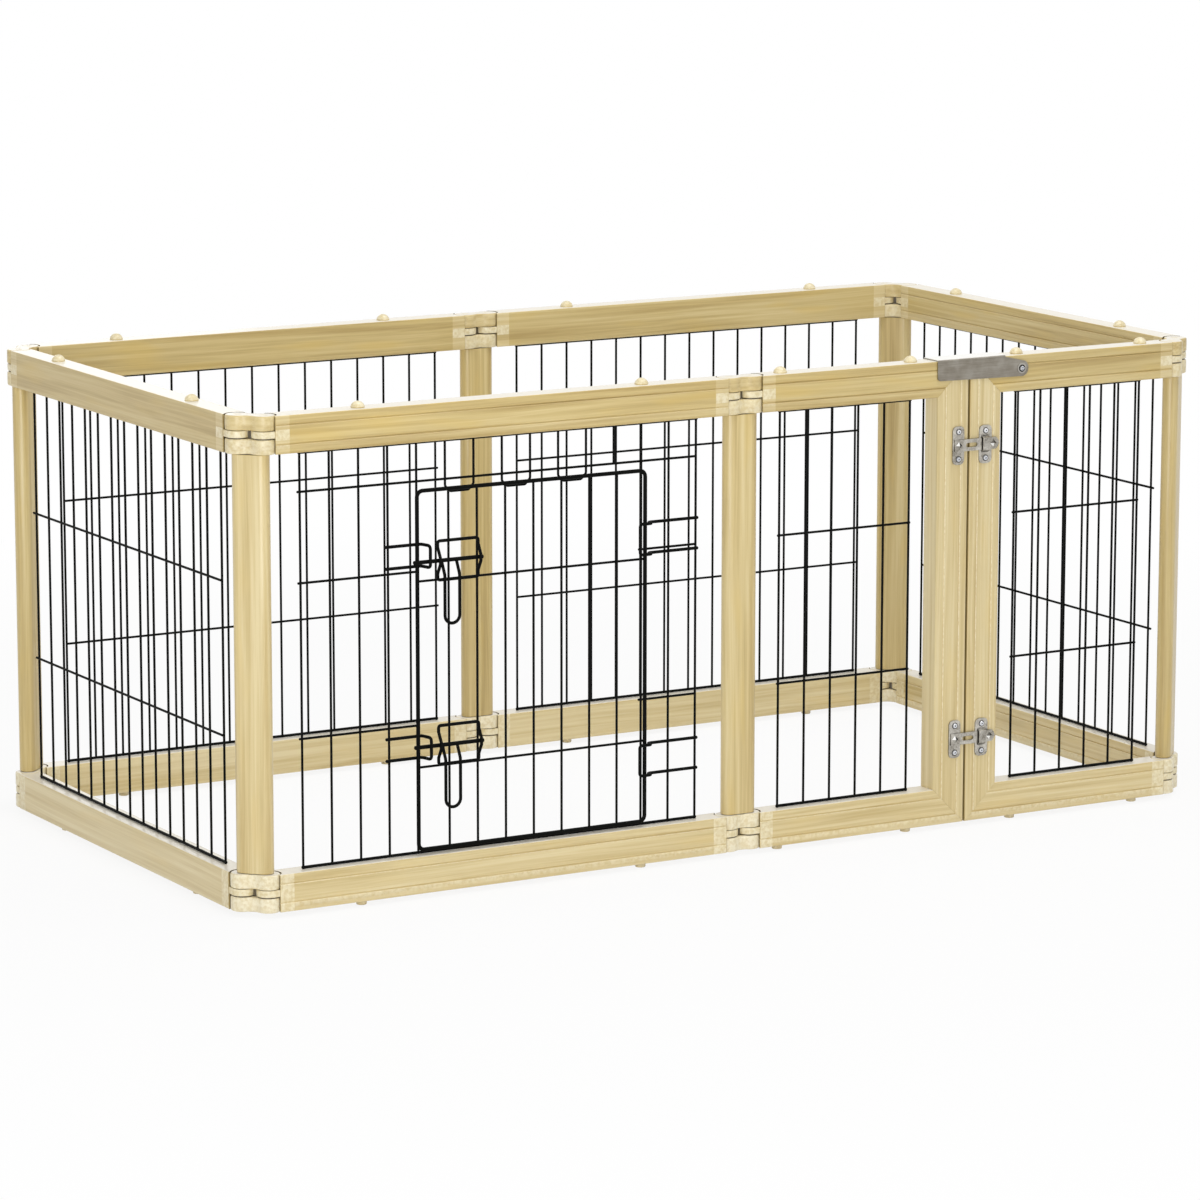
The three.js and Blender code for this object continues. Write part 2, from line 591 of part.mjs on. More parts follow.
function doorSolid(wires) {
  const half = DOOR_FRAME_WIRE / 2;
  const thin = DOOR_WIRE / 2;
  const [left, right] = [DOOR_LEFT_ALONG, DOOR_HINGE_ALONG];
  const [low, high] = [DOOR_BOTTOM_HEIGHT, DOOR_TOP_HEIGHT];
  const radius = DOOR_CORNER_RADIUS;
  const y = -DOOR_SETOUT;
  const outer = roundedRectangle(left - half, low - half, right + half, high + half, radius + half);
  const inner = roundedRectangle(left + half, low + half, right - half, high - half, radius - half);
  const opening = sheet(inner, y - DOOR_FRAME_WIRE, y + DOOR_FRAME_WIRE);
  const [barLow, barHigh] = [low + radius, high - radius];
  const squareBar = box(right - half, y - half, barLow, right + half, y + half, barHigh);
  const barRadius = half / Math.cos(Math.PI / ROUND_SIDES);
  const hingeBar = upright(right, y, barLow, barHigh, barRadius, ROUND_SIDES);
  const frame = sheet(outer, y - half, y + half).subtract(opening).subtract(squareBar);
  const middle = roundedRectangle(left, low, right, high, radius);
  const uprights = wires.slice(DOORWAY_LEFT_WIRE + 1, DOORWAY_RIGHT_WIRE);
  const bars = [DOOR_LOWER_BAR_HEIGHT, DOOR_UPPER_BAR_HEIGHT];
  const columns = stretches(left - half, uprights, right + half, DOOR_WIRE);
  const levels = stretches(low - half, bars, high + half, DOOR_WIRE);
  const openings = meshOpenings(columns, levels, y - DOOR_WIRE, y + DOOR_WIRE);
  const mesh = sheet(middle, y - thin, y + thin).subtract(join(openings));
  const guides = BOLT_HEIGHTS.map((z) => boltGuide(z));
  return join([frame, hingeBar, mesh, ...guides]);
}

// Wire loop on the door whose two sides bow forward into noses that hold the bolt's rod
function boltGuide(rod) {
  const left = DOOR_LEFT_ALONG + GUIDE_LEFT;
  const right = left + GUIDE_WIDTH;
  const back = DOOR_SETOUT + (DOOR_WIRE + LOOP_WIRE) / 2 - FIT_GAP;
  const front = BOLT_SETOUT + (BOLT_ROD + LOOP_WIRE) / 2 + FIT_GAP;
  const shoulder = GUIDE_NOSE * 2;
  const side = (x) => wireAlong([
    point(x, -back, rod + GUIDE_RISE),
    point(x, -back, rod + shoulder),
    point(x, -front, rod + GUIDE_NOSE / 2),
    point(x, -front, rod - GUIDE_NOSE / 2),
    point(x, -back, rod - shoulder),
    point(x, -back, rod - GUIDE_DROP),
  ], LOOP_WIRE);
  const bar = (z) => wireAlong([
    point(left - LOOP_WIRE / 2, -back, z), point(right + LOOP_WIRE / 2, -back, z),
  ], LOOP_WIRE);
  return join([side(left), side(right), bar(rod + GUIDE_RISE), bar(rod - GUIDE_DROP)]);
}

// Slide bolt: a straight rod with a hanging U handle
function boltSolid(height) {
  const tip = DOOR_LEFT_ALONG - BOLT_TIP_OUT;
  const y = -BOLT_SETOUT;
  const left = DOOR_LEFT_ALONG + HANDLE_LEFT;
  const right = left + HANDLE_WIDTH;
  const out = -HANDLE_SETOUT;
  const bend = height - HANDLE_DROP + HANDLE_WIDTH / 2;
  const rod = new THREE.CylinderGeometry(BOLT_ROD / 2, BOLT_ROD / 2, BOLT_LENGTH, ROUND_SIDES);
  rod.rotateZ(Math.PI / 2).translate(tip + BOLT_LENGTH / 2, y, height);
  const path = [point(left, y, height), point(left, out, height - HANDLE_STEP_DROP)];
  for (let i = 0; i <= HANDLE_STEPS; i += 1) {
    const turn = Math.PI * (1 + i / HANDLE_STEPS);
    const radius = HANDLE_WIDTH / 2;
    path.push(point(left + radius + radius * Math.cos(turn), out, bend + radius * Math.sin(turn)));
  }
  path.push(point(right, out, height - HANDLE_STEP_DROP), point(right, y, height));
  return solidOf(rod).add(wireAlong(path, LOOP_WIRE));
}

// Gates

// Upright stile, mitred into both rails. The meeting edge is on the side that meets points to.
function stileSolid(edge, meets) {
  const right = Math.max(edge, edge - meets * STILE_WIDTH);
  const beam = groovedBeam(STILE_WIDTH, FRAME_HEIGHT).rotateY(-Math.PI / 2).translate(right, 0, 0);
  const ends = [[0, RAIL_HEIGHT], [FRAME_HEIGHT, FRAME_HEIGHT - RAIL_HEIGHT]];
  const cutters = ends.map(([outer, inner]) => mitreCutter({ edge, meets, outer, inner, ofStile: true }));
  return cutters.reduce((solid, cutter) => solid.subtract(cutter), solidOf(beam));
}

// Clasp and latches, in pen coordinates from the meeting line

// Sheet-steel channel over both top rails, round-ended where it turns on its screw
function claspSolid() {
  const top = FRAME_TOP + RUNNING_GAP + CLASP_SHEET;
  const pivot = FRAME_TOP - CLASP_PIVOT_DROP;
  const left = MEETING_X - CLASP_LEFT;
  const web = MEETING_X + CLASP_WEB_RIGHT;
  const centre = MEETING_X + CLASP_PIVOT_RIGHT;
  const low = FRAME_TOP - CLASP_LEG;
  const outline = new THREE.Shape();
  outline.moveTo(left, low).lineTo(centre, pivot - CLASP_END_RADIUS);
  for (let i = 0; i <= END_STEPS; i += 1) {
    const turn = Math.PI * (i / END_STEPS - 1 / 2);
    outline.lineTo(centre + CLASP_END_RADIUS * Math.cos(turn), pivot + CLASP_END_RADIUS * Math.sin(turn));
  }
  outline.lineTo(web, top).lineTo(left, top).closePath();
  const half = RAIL_THICKNESS / 2 + RUNNING_GAP;
  const outer = half + CLASP_SHEET;
  const block = sheet(outline, -HALF_DEPTH - outer, -HALF_DEPTH + outer);
  const inside = box(
    left - OVERRUN, -HALF_DEPTH - half, low - OVERRUN,
    centre + CLASP_END_RADIUS + OVERRUN, -HALF_DEPTH + half, FRAME_TOP + RUNNING_GAP,
  );
  const taper = box(
    web, -HALF_DEPTH - half, FRAME_TOP - OVERRUN,
    centre + CLASP_END_RADIUS + OVERRUN, -HALF_DEPTH + half, top + OVERRUN,
  );
  const hole = across(
    centre, pivot, -HALF_DEPTH - outer - OVERRUN, -HALF_DEPTH + outer + OVERRUN,
    CLASP_SCREW_RADIUS + FIT_GAP, ROUND_SIDES,
  );
  return block.subtract(inside).subtract(taper).subtract(hole);
}

// Screw that the clasp turns on, right through the right gate's top rail
function claspScrewSolid() {
  const centre = MEETING_X + CLASP_PIVOT_RIGHT;
  const pivot = FRAME_TOP - CLASP_PIVOT_DROP;
  const outer = RAIL_THICKNESS / 2 + RUNNING_GAP + CLASP_SHEET + FIT_GAP;
  const shank = across(
    centre, pivot, -HALF_DEPTH - outer, -HALF_DEPTH + outer, CLASP_SCREW_RADIUS, ROUND_SIDES,
  );
  const heads = [1, -1].map((side) => {
    const inner = side * outer - HALF_DEPTH;
    const far = inner + side * CLASP_HEAD_HEIGHT;
    return across(
      centre, pivot, Math.min(inner, far), Math.max(inner, far), CLASP_HEAD_RADIUS, ROUND_SIDES,
    );
  });
  return join([shank, ...heads]);
}

// Latch plate with two screws and a raised bridge that the arm runs through, with room over the arm
function latchPlate(left, middle, bridgeLeft, bridgeRight, room) {
  const face = FRONT_FACE - FIT_GAP;
  const halfHeight = LATCH_PLATE_HEIGHT / 2;
  const right = left + LATCH_PLATE_WIDTH;
  const [low, high] = [middle - halfHeight, middle + halfHeight];
  const outline = roundedRectangle(left, low, right, high, LATCH_CORNER_RADIUS);
  const plate = sheet(outline, face - LATCH_SHEET, face);
  const half = LATCH_BRIDGE_HEIGHT / 2;
  const tunnelHalf = LATCH_ARM_HEIGHT / 2 + FIT_GAP;
  const inner = face - LATCH_SHEET - FIT_GAP - LATCH_SHEET - room;
  const bridge = box(
    bridgeLeft, inner - LATCH_SHEET, middle - half, bridgeRight, face - LATCH_SHEET / 2, middle + half,
  );
  const tunnel = box(
    bridgeLeft - OVERRUN, inner, middle - tunnelHalf,
    bridgeRight + OVERRUN, face - LATCH_SHEET, middle + tunnelHalf,
  );
  const screws = [1, -1].map((side) => across(
    (left + right) / 2, middle + side * LATCH_SCREW_SPACING / 2,
    face - LATCH_SHEET - LATCH_SCREW_HEAD, face - LATCH_SHEET / 2, LATCH_SCREW_RADIUS, ROUND_SIDES,
  ));
  return join([plate, bridge.subtract(tunnel), ...screws]);
}

function latchBaseSolid(middle) {
  const left = MEETING_X - LATCH_BASE_LEFT;
  const right = left + LATCH_PLATE_WIDTH;
  return latchPlate(left, middle, left + LATCH_SHEET, right - LATCH_SHEET, FIT_GAP);
}

function latchKeeperSolid(middle) {
  const left = MEETING_X + LATCH_KEEPER_LEFT;
  const bridgeLeft = left + LATCH_SHEET;
  const bridgeRight = bridgeLeft + LATCH_KEEPER_BRIDGE_WIDTH;
  return latchPlate(left, middle, bridgeLeft, bridgeRight, LATCH_TAB_HEIGHT + FIT_GAP);
}

// Sliding arm with its long slot and a raised finger tab at its round end
function latchArmSolid(middle) {
  const left = MEETING_X - LATCH_BASE_LEFT + LATCH_SHEET;
  const right = left + LATCH_ARM_LENGTH;
  const half = LATCH_ARM_HEIGHT / 2;
  const back = FRONT_FACE - FIT_GAP - LATCH_SHEET - FIT_GAP;
  const outline = new THREE.Shape();
  outline.moveTo(left, middle - half).lineTo(right - half, middle - half);
  for (let i = 1; i <= END_STEPS; i += 1) {
    const turn = Math.PI * (i / END_STEPS - 1 / 2);
    outline.lineTo(right - half + half * Math.cos(turn), middle + half * Math.sin(turn));
  }
  outline.lineTo(left, middle + half).closePath();
  const slotLeft = left + LATCH_SLOT_START;
  outline.holes.push(roundedRectangle(
    slotLeft, middle - LATCH_SLOT_WIDTH / 2, slotLeft + LATCH_SLOT_LENGTH,
    middle + LATCH_SLOT_WIDTH / 2, LATCH_SLOT_WIDTH / 2 - FIT_GAP,
  ));
  const arm = sheet(outline, back - LATCH_SHEET, back);
  const tab = across(
    right - LATCH_TAB_SETBACK, middle, back - LATCH_SHEET - LATCH_TAB_HEIGHT, back - LATCH_SHEET / 2,
    LATCH_TAB_RADIUS, ROUND_SIDES,
  );
  return arm.add(tab);
}

// Assembly

const pen = new THREE.Group();
pen.position.y = (FRONT_REACH - RAIL_THICKNESS / 2) / 2; // middle of the depth over the handles

function addPiece(parent, name, solid, material) {
  const mesh = new THREE.Mesh(geometryOf(solid), material);
  mesh.name = name;
  parent.add(mesh);
  return mesh;
}

function place(x, y, turn) {
  const group = new THREE.Group();
  group.position.set(x, y, 0);
  group.rotation.z = THREE.MathUtils.degToRad(turn);
  pen.add(group);
  return group;
}

// Centre of a corner link, halfway between the pivots of its two rails
const linkX = HALF_WIDTH - CORNER_OFFSET / 2;
const linkY = HALF_DEPTH - CORNER_OFFSET / 2;
const posts = {
  back_mid: [0, HALF_DEPTH, 0],
  back_left: [-linkX, linkY, 45],
  front_left: [-linkX, -linkY, -45],
  front_mid: [0, -HALF_DEPTH, 0],
  back_right: [linkX, linkY, -45],
  front_right: [linkX, -linkY, 45],
};
for (const [name, [x, y, turn]] of Object.entries(posts)) {
  const group = place(x, y, turn);
  addPiece(group, `${name}_post`, postSolid(), pine);
  const upper = addPiece(group, `${name}_top_link`, linkSolid(), pineEnd);
  upper.position.z = FRAME_TOP - RAIL_HEIGHT;
  const lower = addPiece(group, `${name}_bottom_link`, linkSolid(), pineEnd);
  lower.position.z = FRAME_BOTTOM;
}

// Each panel starts at its left pivot, seen from the side with the grooved faces
const panelWires = wirePlaces(PIVOT_TO_WIRE, WIRE_PITCH, PANEL_PITCHES);
const panelBars = [LOWER_BAR_HEIGHT, UPPER_BAR_HEIGHT];
const PITCHES_BEFORE_STUD = 2; // buttons and feet stand over the third wire from each end
const studs = [panelWires[PITCHES_BEFORE_STUD], panelWires.at(-1 - PITCHES_BEFORE_STUD)];
const half = PIVOT_SPACING / 2;
const cornerX = HALF_WIDTH - CORNER_OFFSET;
const cornerY = HALF_DEPTH - CORNER_OFFSET;
const panels = {
  front_left: [-cornerX, -HALF_DEPTH, 0],
  left_end: [-HALF_WIDTH, -cornerY, 90],
  right_end: [HALF_WIDTH, cornerY, -90],
  back_left: [-half, HALF_DEPTH, 180],
  back_right: [cornerX, HALF_DEPTH, 180],
};
for (const [name, [x, y, turn]] of Object.entries(panels)) {
  const group = place(x, y, turn);
  group.position.z = FRAME_BOTTOM;
  const shared = { left: 0, right: PANEL_LENGTH, leftPivot: true, rightPivot: true, studs };
  const wires = stubPlaces(panelWires);
  const upper = addPiece(group, `${name}_top_rail`, railSolid({ ...shared, top: true, wires }), pine);
  upper.position.z = FRAME_HEIGHT - RAIL_HEIGHT;
  addPiece(group, `${name}_bottom_rail`, railSolid({ ...shared, top: false, wires }), pine);
  const mesh = name === 'front_left'
    ? doorwayMeshSolid(panelWires, panelBars)
    : meshSolid(panelWires, panelBars, { low: MESH_LOW, high: MESH_HIGH, stubs: wires });
  addPiece(group, `${name}_mesh`, mesh, blackWire);
  if (name === 'front_left') {
    addPiece(group, 'wire_door', doorSolid(panelWires), blackWire);
    addPiece(group, 'upper_slide_bolt', boltSolid(BOLT_HEIGHTS[0]), blackWire);
    addPiece(group, 'lower_slide_bolt', boltSolid(BOLT_HEIGHTS[1]), blackWire);
  }
}

const gates = {
  left_gate: { x: half, length: LEFT_GATE_LENGTH, meets: 1 },
  right_gate: { x: cornerX, length: RIGHT_GATE_LENGTH, meets: -1 },
};
for (const [name, { x, length, meets }] of Object.entries(gates)) {
  const group = place(x, -HALF_DEPTH, 0);
  group.position.z = FRAME_BOTTOM;
  const edge = meets * length;
  const reach = edge - meets * (STILE_WIDTH + STILE_TO_WIRE);
  const pitches = Math.floor((Math.abs(reach) - GATE_PIVOT_CLEAR) / GATE_WIRE_PITCH);
  const first = meets > 0 ? reach - pitches * GATE_WIRE_PITCH : reach;
  const wires = wirePlaces(first, GATE_WIRE_PITCH, pitches);
  const stubs = stubPlaces(wires);
  const shared = {
    left: Math.min(0, edge), right: Math.max(0, edge),
    leftPivot: meets > 0, rightPivot: meets < 0, studs: stubs, wires: stubs,
  };
  const topMitre = mitreCutter({ edge, meets, outer: RAIL_HEIGHT, inner: 0, ofStile: false });
  const bottomMitre = mitreCutter({ edge, meets, outer: 0, inner: RAIL_HEIGHT, ofStile: false });
  let topRail = railSolid({ ...shared, top: true }).subtract(topMitre);
  if (meets < 0) {
    const along = MEETING_X + CLASP_PIVOT_RIGHT - x;
    topRail = topRail.subtract(across(
      along, RAIL_HEIGHT - CLASP_PIVOT_DROP, -RAIL_THICKNESS, RAIL_THICKNESS,
      CLASP_SCREW_RADIUS + FIT_GAP, ROUND_SIDES,
    ));
  }
  const upper = addPiece(group, `${name}_top_rail`, topRail, pine);
  upper.position.z = FRAME_HEIGHT - RAIL_HEIGHT;
  const bottomRail = railSolid({ ...shared, top: false }).subtract(bottomMitre);
  addPiece(group, `${name}_bottom_rail`, bottomRail, pine);
  addPiece(group, `${name}_stile`, stileSolid(edge, meets), pine);
  const mesh = meshSolid(wires, panelBars, { low: MESH_LOW, high: MESH_HIGH, stubs });
  addPiece(group, `${name}_mesh`, mesh, blackWire);
}

addPiece(pen, 'clasp', claspSolid(), brushedSteel);
addPiece(pen, 'clasp_screw', claspScrewSolid(), platedSteel);
const latches = { upper: FRAME_TOP - LATCH_UPPER_DROP, lower: FRAME_BOTTOM + LATCH_LOWER_RISE };
for (const [name, middle] of Object.entries(latches)) {
  addPiece(pen, `${name}_latch_base`, latchBaseSolid(middle), platedSteel);
  addPiece(pen, `${name}_latch_arm`, latchArmSolid(middle), platedSteel);
  addPiece(pen, `${name}_latch_keeper`, latchKeeperSolid(middle), platedSteel);
}

export default pen;
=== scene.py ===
# %% [markdown]
# # A wooden dog playpen with wire panels
# The pen is six low panels of lacquered pine and black wire, joined round six posts by small
# wooden links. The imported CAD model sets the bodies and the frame, in metres, with Z up and the
# front towards -Y. This notebook dresses it: each cell makes one kind of piece with a finer
# surface than the solid has, and gives it the finish that the real pen shows.

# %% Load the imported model
import math
from itertools import product

import bpy
import numpy as np
from mathutils import Matrix


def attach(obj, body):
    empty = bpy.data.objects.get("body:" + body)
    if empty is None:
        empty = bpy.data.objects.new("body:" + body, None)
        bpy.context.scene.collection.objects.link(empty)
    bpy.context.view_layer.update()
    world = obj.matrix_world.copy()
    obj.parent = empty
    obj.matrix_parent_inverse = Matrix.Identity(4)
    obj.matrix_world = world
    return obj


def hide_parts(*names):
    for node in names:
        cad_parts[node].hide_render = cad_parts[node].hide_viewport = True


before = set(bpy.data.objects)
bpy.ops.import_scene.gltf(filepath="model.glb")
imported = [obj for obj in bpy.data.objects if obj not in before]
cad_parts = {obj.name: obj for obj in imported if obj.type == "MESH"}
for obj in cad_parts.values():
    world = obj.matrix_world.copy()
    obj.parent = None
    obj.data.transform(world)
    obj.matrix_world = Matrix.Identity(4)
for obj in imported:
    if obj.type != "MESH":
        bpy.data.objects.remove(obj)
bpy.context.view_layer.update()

# %% [markdown]
# ## Sizes of the pen
# A maker would cut every timber to one list of sizes, so they stand here once. They are in
# millimetres, and a piece is scaled to metres when its mesh is made. A panel is measured from its
# left pivot: x runs along it, y across it (the grooved face is at -y) and z up from the underside
# of its bottom rail.

# %% Sizes
MM = 0.001  # metres in a millimetre
FLOOR_TO_RAIL = 6.5
RAIL_HEIGHT = 46
RAIL_THICKNESS = 30
FRAME_HEIGHT = 597
RAIL_EDGE = 1.6
STILE_WIDTH = 46
GROOVE_INSET = 11.5
GROOVE_HALF = 1.2
GROOVE_DEPTH = 1.2
PIVOT_SPACING = 32
WIRE_PITCH = 38.8
FIRST_WIRE = 46.5
PITCHES = 14
PANEL_LENGTH = PITCHES * WIRE_PITCH + 2 * FIRST_WIRE
MESH_LOW = RAIL_HEIGHT
MESH_HIGH = FRAME_HEIGHT - RAIL_HEIGHT
FRONT_Y = -336.327
BACK_Y = 345.127
MEETING_X = 330.5
MEETING_GAP = 3
TOUCH = 0.3
# tones of the wood: a paler board, which some pieces also take as painted light, a block's end, the
# painted sheen of a top face, and the painted shade in a joint
BOARD_TONE = 0.45
BLOCK_TONE = 0.60
# painted sheen: tone for faces painted nearly white, as the light seen along them makes them look
PAINTED_SHEEN_TONE = 2.0
# painted shade: tone that paints the gaps of the joints dark
JOINT_SHADE_TONE = -0.9
print("panel", round(PANEL_LENGTH, 1), "mm from pivot to pivot")

# %% [markdown]
# ## Camera
# The photograph was taken from the front left with a long lens. The lens, place and angles come
# from a fit to about a hundred places measured in it. The matrix is written from its three
# directions, so that no aiming helper can turn the picture.

# %% Camera
CAMERA_PLACE = (-3.3125, -5.7695, 1.5160)
CAMERA_YAW = 0.52052
CAMERA_PITCH = 0.18543
CAMERA_ROLL = 0.0007
LENS = 156.53
SENSOR = 36.0
FARTHEST_SEEN = 200.0


def camera_directions(yaw, pitch, roll):
    """Right, up and forward: yaw turns from +Y to +X, pitch looks down, roll leans right to up."""
    level = math.cos(pitch)
    ahead = np.array([math.sin(yaw) * level, math.cos(yaw) * level, -math.sin(pitch)])
    right = np.array([math.cos(yaw), -math.sin(yaw), 0.0])
    up = np.cross(right, ahead)
    leaned = math.cos(roll) * right + math.sin(roll) * up
    return leaned, np.cross(leaned, ahead), ahead


def standing(place, x, y, z):
    """Matrix of an object at a place whose own axes point along x, y and z."""
    return Matrix([(x[i], y[i], z[i], place[i]) for i in range(3)] + [(0, 0, 0, 1)])


right, up, ahead = camera_directions(CAMERA_YAW, CAMERA_PITCH, CAMERA_ROLL)
camera_data = bpy.data.cameras.new("photo_camera")
camera_data.lens = LENS
camera_data.sensor_width = SENSOR
camera_data.clip_end = FARTHEST_SEEN
camera = bpy.data.objects.new("photo_camera", camera_data)
bpy.context.scene.collection.objects.link(camera)
camera.matrix_world = standing(CAMERA_PLACE, right, up, -ahead)
bpy.context.scene.camera = camera
print("camera", camera.matrix_world.translation)

# %% [markdown]
# ## Node trees
# Every finish is a small node tree. One function adds a node, sets its properties and fills or
# links its inputs, so each material below reads as a list of its layers. Colours are written as
# the hex values that one would pick from a picture and made linear by one function.

# %% Node and colour helpers


def linear(hex_colour):
    """Linear RGBA of an sRGB hex colour: each channel c becomes ((c + 0.055) / 1.055) ** 2.4."""
    channels = np.array([int(hex_colour[i:i + 2], 16) for i in (1, 3, 5)]) / 255
    light = np.where(channels <= 0.04045, channels / 12.92, ((channels + 0.055) / 1.055) ** 2.4)
    return (*light.tolist(), 1.0)


def add_node(tree, kind, inputs=None, stops=(), **properties):
    """A node of one kind. Inputs are given by name or number, as a value, a socket or a node,
    which stands for its first output. The stops of a colour ramp are pairs of a place from 0 to 1
    and a hex colour, in rising order."""
    node = tree.nodes.new("ShaderNode" + kind)
    for key, value in properties.items():
        setattr(node, key, value)
    for key, value in (inputs or {}).items():
        if isinstance(value, bpy.types.Node):
            value = value.outputs[0]
        if isinstance(value, bpy.types.NodeSocket):
            tree.links.new(value, node.inputs[key])
        else:
            node.inputs[key].default_value = value
    for count, (place, colour) in enumerate(stops):
        if count == len(node.color_ramp.elements):
            node.color_ramp.elements.new(place)
        node.color_ramp.elements[count].position = place
        node.color_ramp.elements[count].color = linear(colour)
    return node


def new_material(name):
    """An empty material and its node tree."""
    material = bpy.data.materials.new(name)
    material.use_nodes = True
    material.node_tree.nodes.clear()
    return material, material.node_tree


# %% [markdown]
# ## Floor, backdrop and lamps
# The photograph is a cut-out on white. A pale floor could be lit until it is white, but that would
# bleach the wood too. So the floor shows mostly its own white to the camera and keeps a share of
# real shading, which holds the pen's soft shadow. The world is white where it is seen or
# reflected, and lights the object at a plain level.

# %% Floor and world
FLOOR_SIZE = 60.0
FLOOR_OWN_WHITE = 0.88
SHADOW_REACH = 1.1
WORLD_LIGHT = 0.50
FLOOR_SHADE = (0.9, 0.9, 0.9, 1)
WHITE = (1, 1, 1, 1)
LAMP_AIM = (0, 0, 0.3)
# place in metres, width in metres and power in watts
LAMPS = {
    "overhead_softbox": ((0.4, -0.8, 4.2), 3.0, 80),
    "front_softbox": ((-2.6, -3.8, 0.8), 2.2, 74),
    "low_back_softbox": ((1.0, 6.2, 2.4), 3.0, 22),
}


def seen_directly(tree):
    """1 for a ray from the camera, a mirror or a glass, and 0 for the light that a surface gets."""
    ray = add_node(tree, "LightPath").outputs
    seen = ray["Is Camera Ray"]
    for other in ("Is Glossy Ray", "Is Transmission Ray"):
        seen = add_node(tree, "Math", {0: seen, 1: ray[other]}, operation="MAXIMUM")
    return seen


floor_mesh = bpy.data.meshes.new("floor")
half_floor = FLOOR_SIZE / 2
floor_signs = ((-1, -1), (1, -1), (1, 1), (-1, 1))
floor_corners = [(x * half_floor, y * half_floor, 0) for x, y in floor_signs]
floor_mesh.from_pydata(floor_corners, [], [(0, 1, 2, 3)])
floor = bpy.data.objects.new("floor", floor_mesh)
bpy.context.scene.collection.objects.link(floor)

floor_paint, tree = new_material("pale_studio_floor")
place = add_node(tree, "TexCoord").outputs["Object"]
away = add_node(tree, "VectorMath", {0: place}, operation="LENGTH")
own_white = add_node(tree, "MapRange", {
    "Value": away.outputs["Value"], "From Min": SHADOW_REACH, "From Max": 2 * SHADOW_REACH,
    "To Min": FLOOR_OWN_WHITE, "To Max": 1.0,
})
share = add_node(tree, "Math", {0: seen_directly(tree), 1: own_white}, operation="MULTIPLY")
shaded = add_node(tree, "BsdfDiffuse", {"Color": FLOOR_SHADE})
white = add_node(tree, "Emission", {"Color": WHITE, "Strength": 1.0})
mixed = add_node(tree, "MixShader", {0: share, 1: shaded, 2: white})
add_node(tree, "OutputMaterial", {"Surface": mixed})
floor_mesh.materials.append(floor_paint)

world = bpy.data.worlds.new("white_studio")
bpy.context.scene.world = world
world.use_nodes = True
tree = world.node_tree
tree.nodes.clear()
level = add_node(tree, "MapRange", {
    "Value": seen_directly(tree), "To Min": WORLD_LIGHT, "To Max": 1.0,
})
sky = add_node(tree, "Background", {"Color": WHITE, "Strength": level})
add_node(tree, "OutputWorld", {"Surface": sky})
bpy.context.scene.view_settings.view_transform = "Standard"


def add_lamp(name, place, size, power):
    """A square area lamp that faces the middle of the pen and isn't seen itself."""
    data = bpy.data.lights.new(name, "AREA")
    data.size = size
    data.energy = power
    lamp = bpy.data.objects.new(name, data)
    bpy.context.scene.collection.objects.link(lamp)
    lamp.visible_camera = False
    back = np.subtract(place, LAMP_AIM)
    back = back / np.linalg.norm(back)
    side = np.cross([0, 0, 1], back)
    side = side / np.linalg.norm(side)
    top = np.cross(back, side)
    lamp.matrix_world = standing(place, side, top, back)


for name, (place, size, power) in LAMPS.items():
    add_lamp(name, place, size, power)
print("world light", WORLD_LIGHT)

# %% [markdown]
# ## Surfaces from numbers
# Nearly every piece here is one of four shapes: a timber, which is a box bent by a formula; a
# plate, which is an outline given thickness and round edges; a wire, which is a ring carried along
# a path; and a turned piece, which is a profile spun round an axis. Each is worked out as whole
# numpy arrays. A solid is kept as its points, its faces and, for the wood, where each point lies
# in the timber it was cut from.

# %% Solids


class Solid:
    """Points, faces, the place of each point in its timber (x with the grain), and its tone.
    The wood reads the tone as paleness, from -1 for a joint's painted shade over a board's own 0 to
    2 for a face's painted sheen. The steel reads it as painted shade in a crease over zero, and as
    a painted highlight under it."""

    def __init__(self, points, faces, grain=None, tone=None):
        self.points = np.asarray(points, float)
        self.faces = faces
        self.grain = self.points.copy() if grain is None else grain
        self.tone = np.zeros(len(self.points)) if tone is None else tone

    def moved(self, x=0.0, y=0.0, z=0.0, turn=0.0):
        """The same solid turned round the upright axis through zero, then moved."""
        c, s = math.cos(turn), math.sin(turn)
        spin = np.array([[c, -s, 0], [s, c, 0], [0, 0, 1]])
        return Solid(self.points @ spin.T + np.array([x, y, z]), self.faces, self.grain, self.tone)

    def with_grain(self, order, shift=(0.0, 0.0, 0.0)):
        """The same solid cut from a timber whose grain runs along the first axis in order."""
        return Solid(self.points, self.faces, self.points[:, order] + np.array(shift), self.tone)

    def toned(self, amount):
        """The same solid with one tone all over, or with a tone for each point."""
        return Solid(self.points, self.faces, self.grain, np.zeros(len(self.points)) + amount)


def joined(solids):
    """Several solids as one list of points and faces."""
    starts = np.cumsum([0] + [len(s.points) for s in solids])
    faces = [[i + start for i in face] for s, start in zip(solids, starts) for face in s.faces]
    points, grain, tone = (np.concatenate([getattr(s, name) for s in solids])
                           for name in ("points", "grain", "tone"))
    return Solid(points, faces, grain, tone)


def unit(vectors):
    """Each row divided by its length."""
    return vectors / np.linalg.norm(vectors, axis=1)[:, None]


def grid_faces(rows, columns, closed=False):
    """Quads of a grid stored row by row. A closed grid joins its last column to its first."""
    across = columns if closed else columns - 1
    i, j = np.meshgrid(np.arange(rows - 1), np.arange(across), indexing="ij")
    k = (j + 1) % columns
    here, after = i * columns, (i + 1) * columns
    return np.stack([here + j, after + j, after + k, here + k], -1).reshape(-1, 4)


WELD_REACH = 0.001


def welded(points, quads):
    """Merges points that lie within a thousandth of a millimetre and drops faces that collapse."""
    keys = np.round(points / WELD_REACH).astype(np.int64)
    _, first, where = np.unique(keys, axis=0, return_index=True, return_inverse=True)
    faces = where.reshape(-1)[quads]
    kept = [[a for n, a in enumerate(face) if a != face[n - 1]] for face in faces.tolist()]
    return Solid(points[first], [face for face in kept if len(face) > 2])


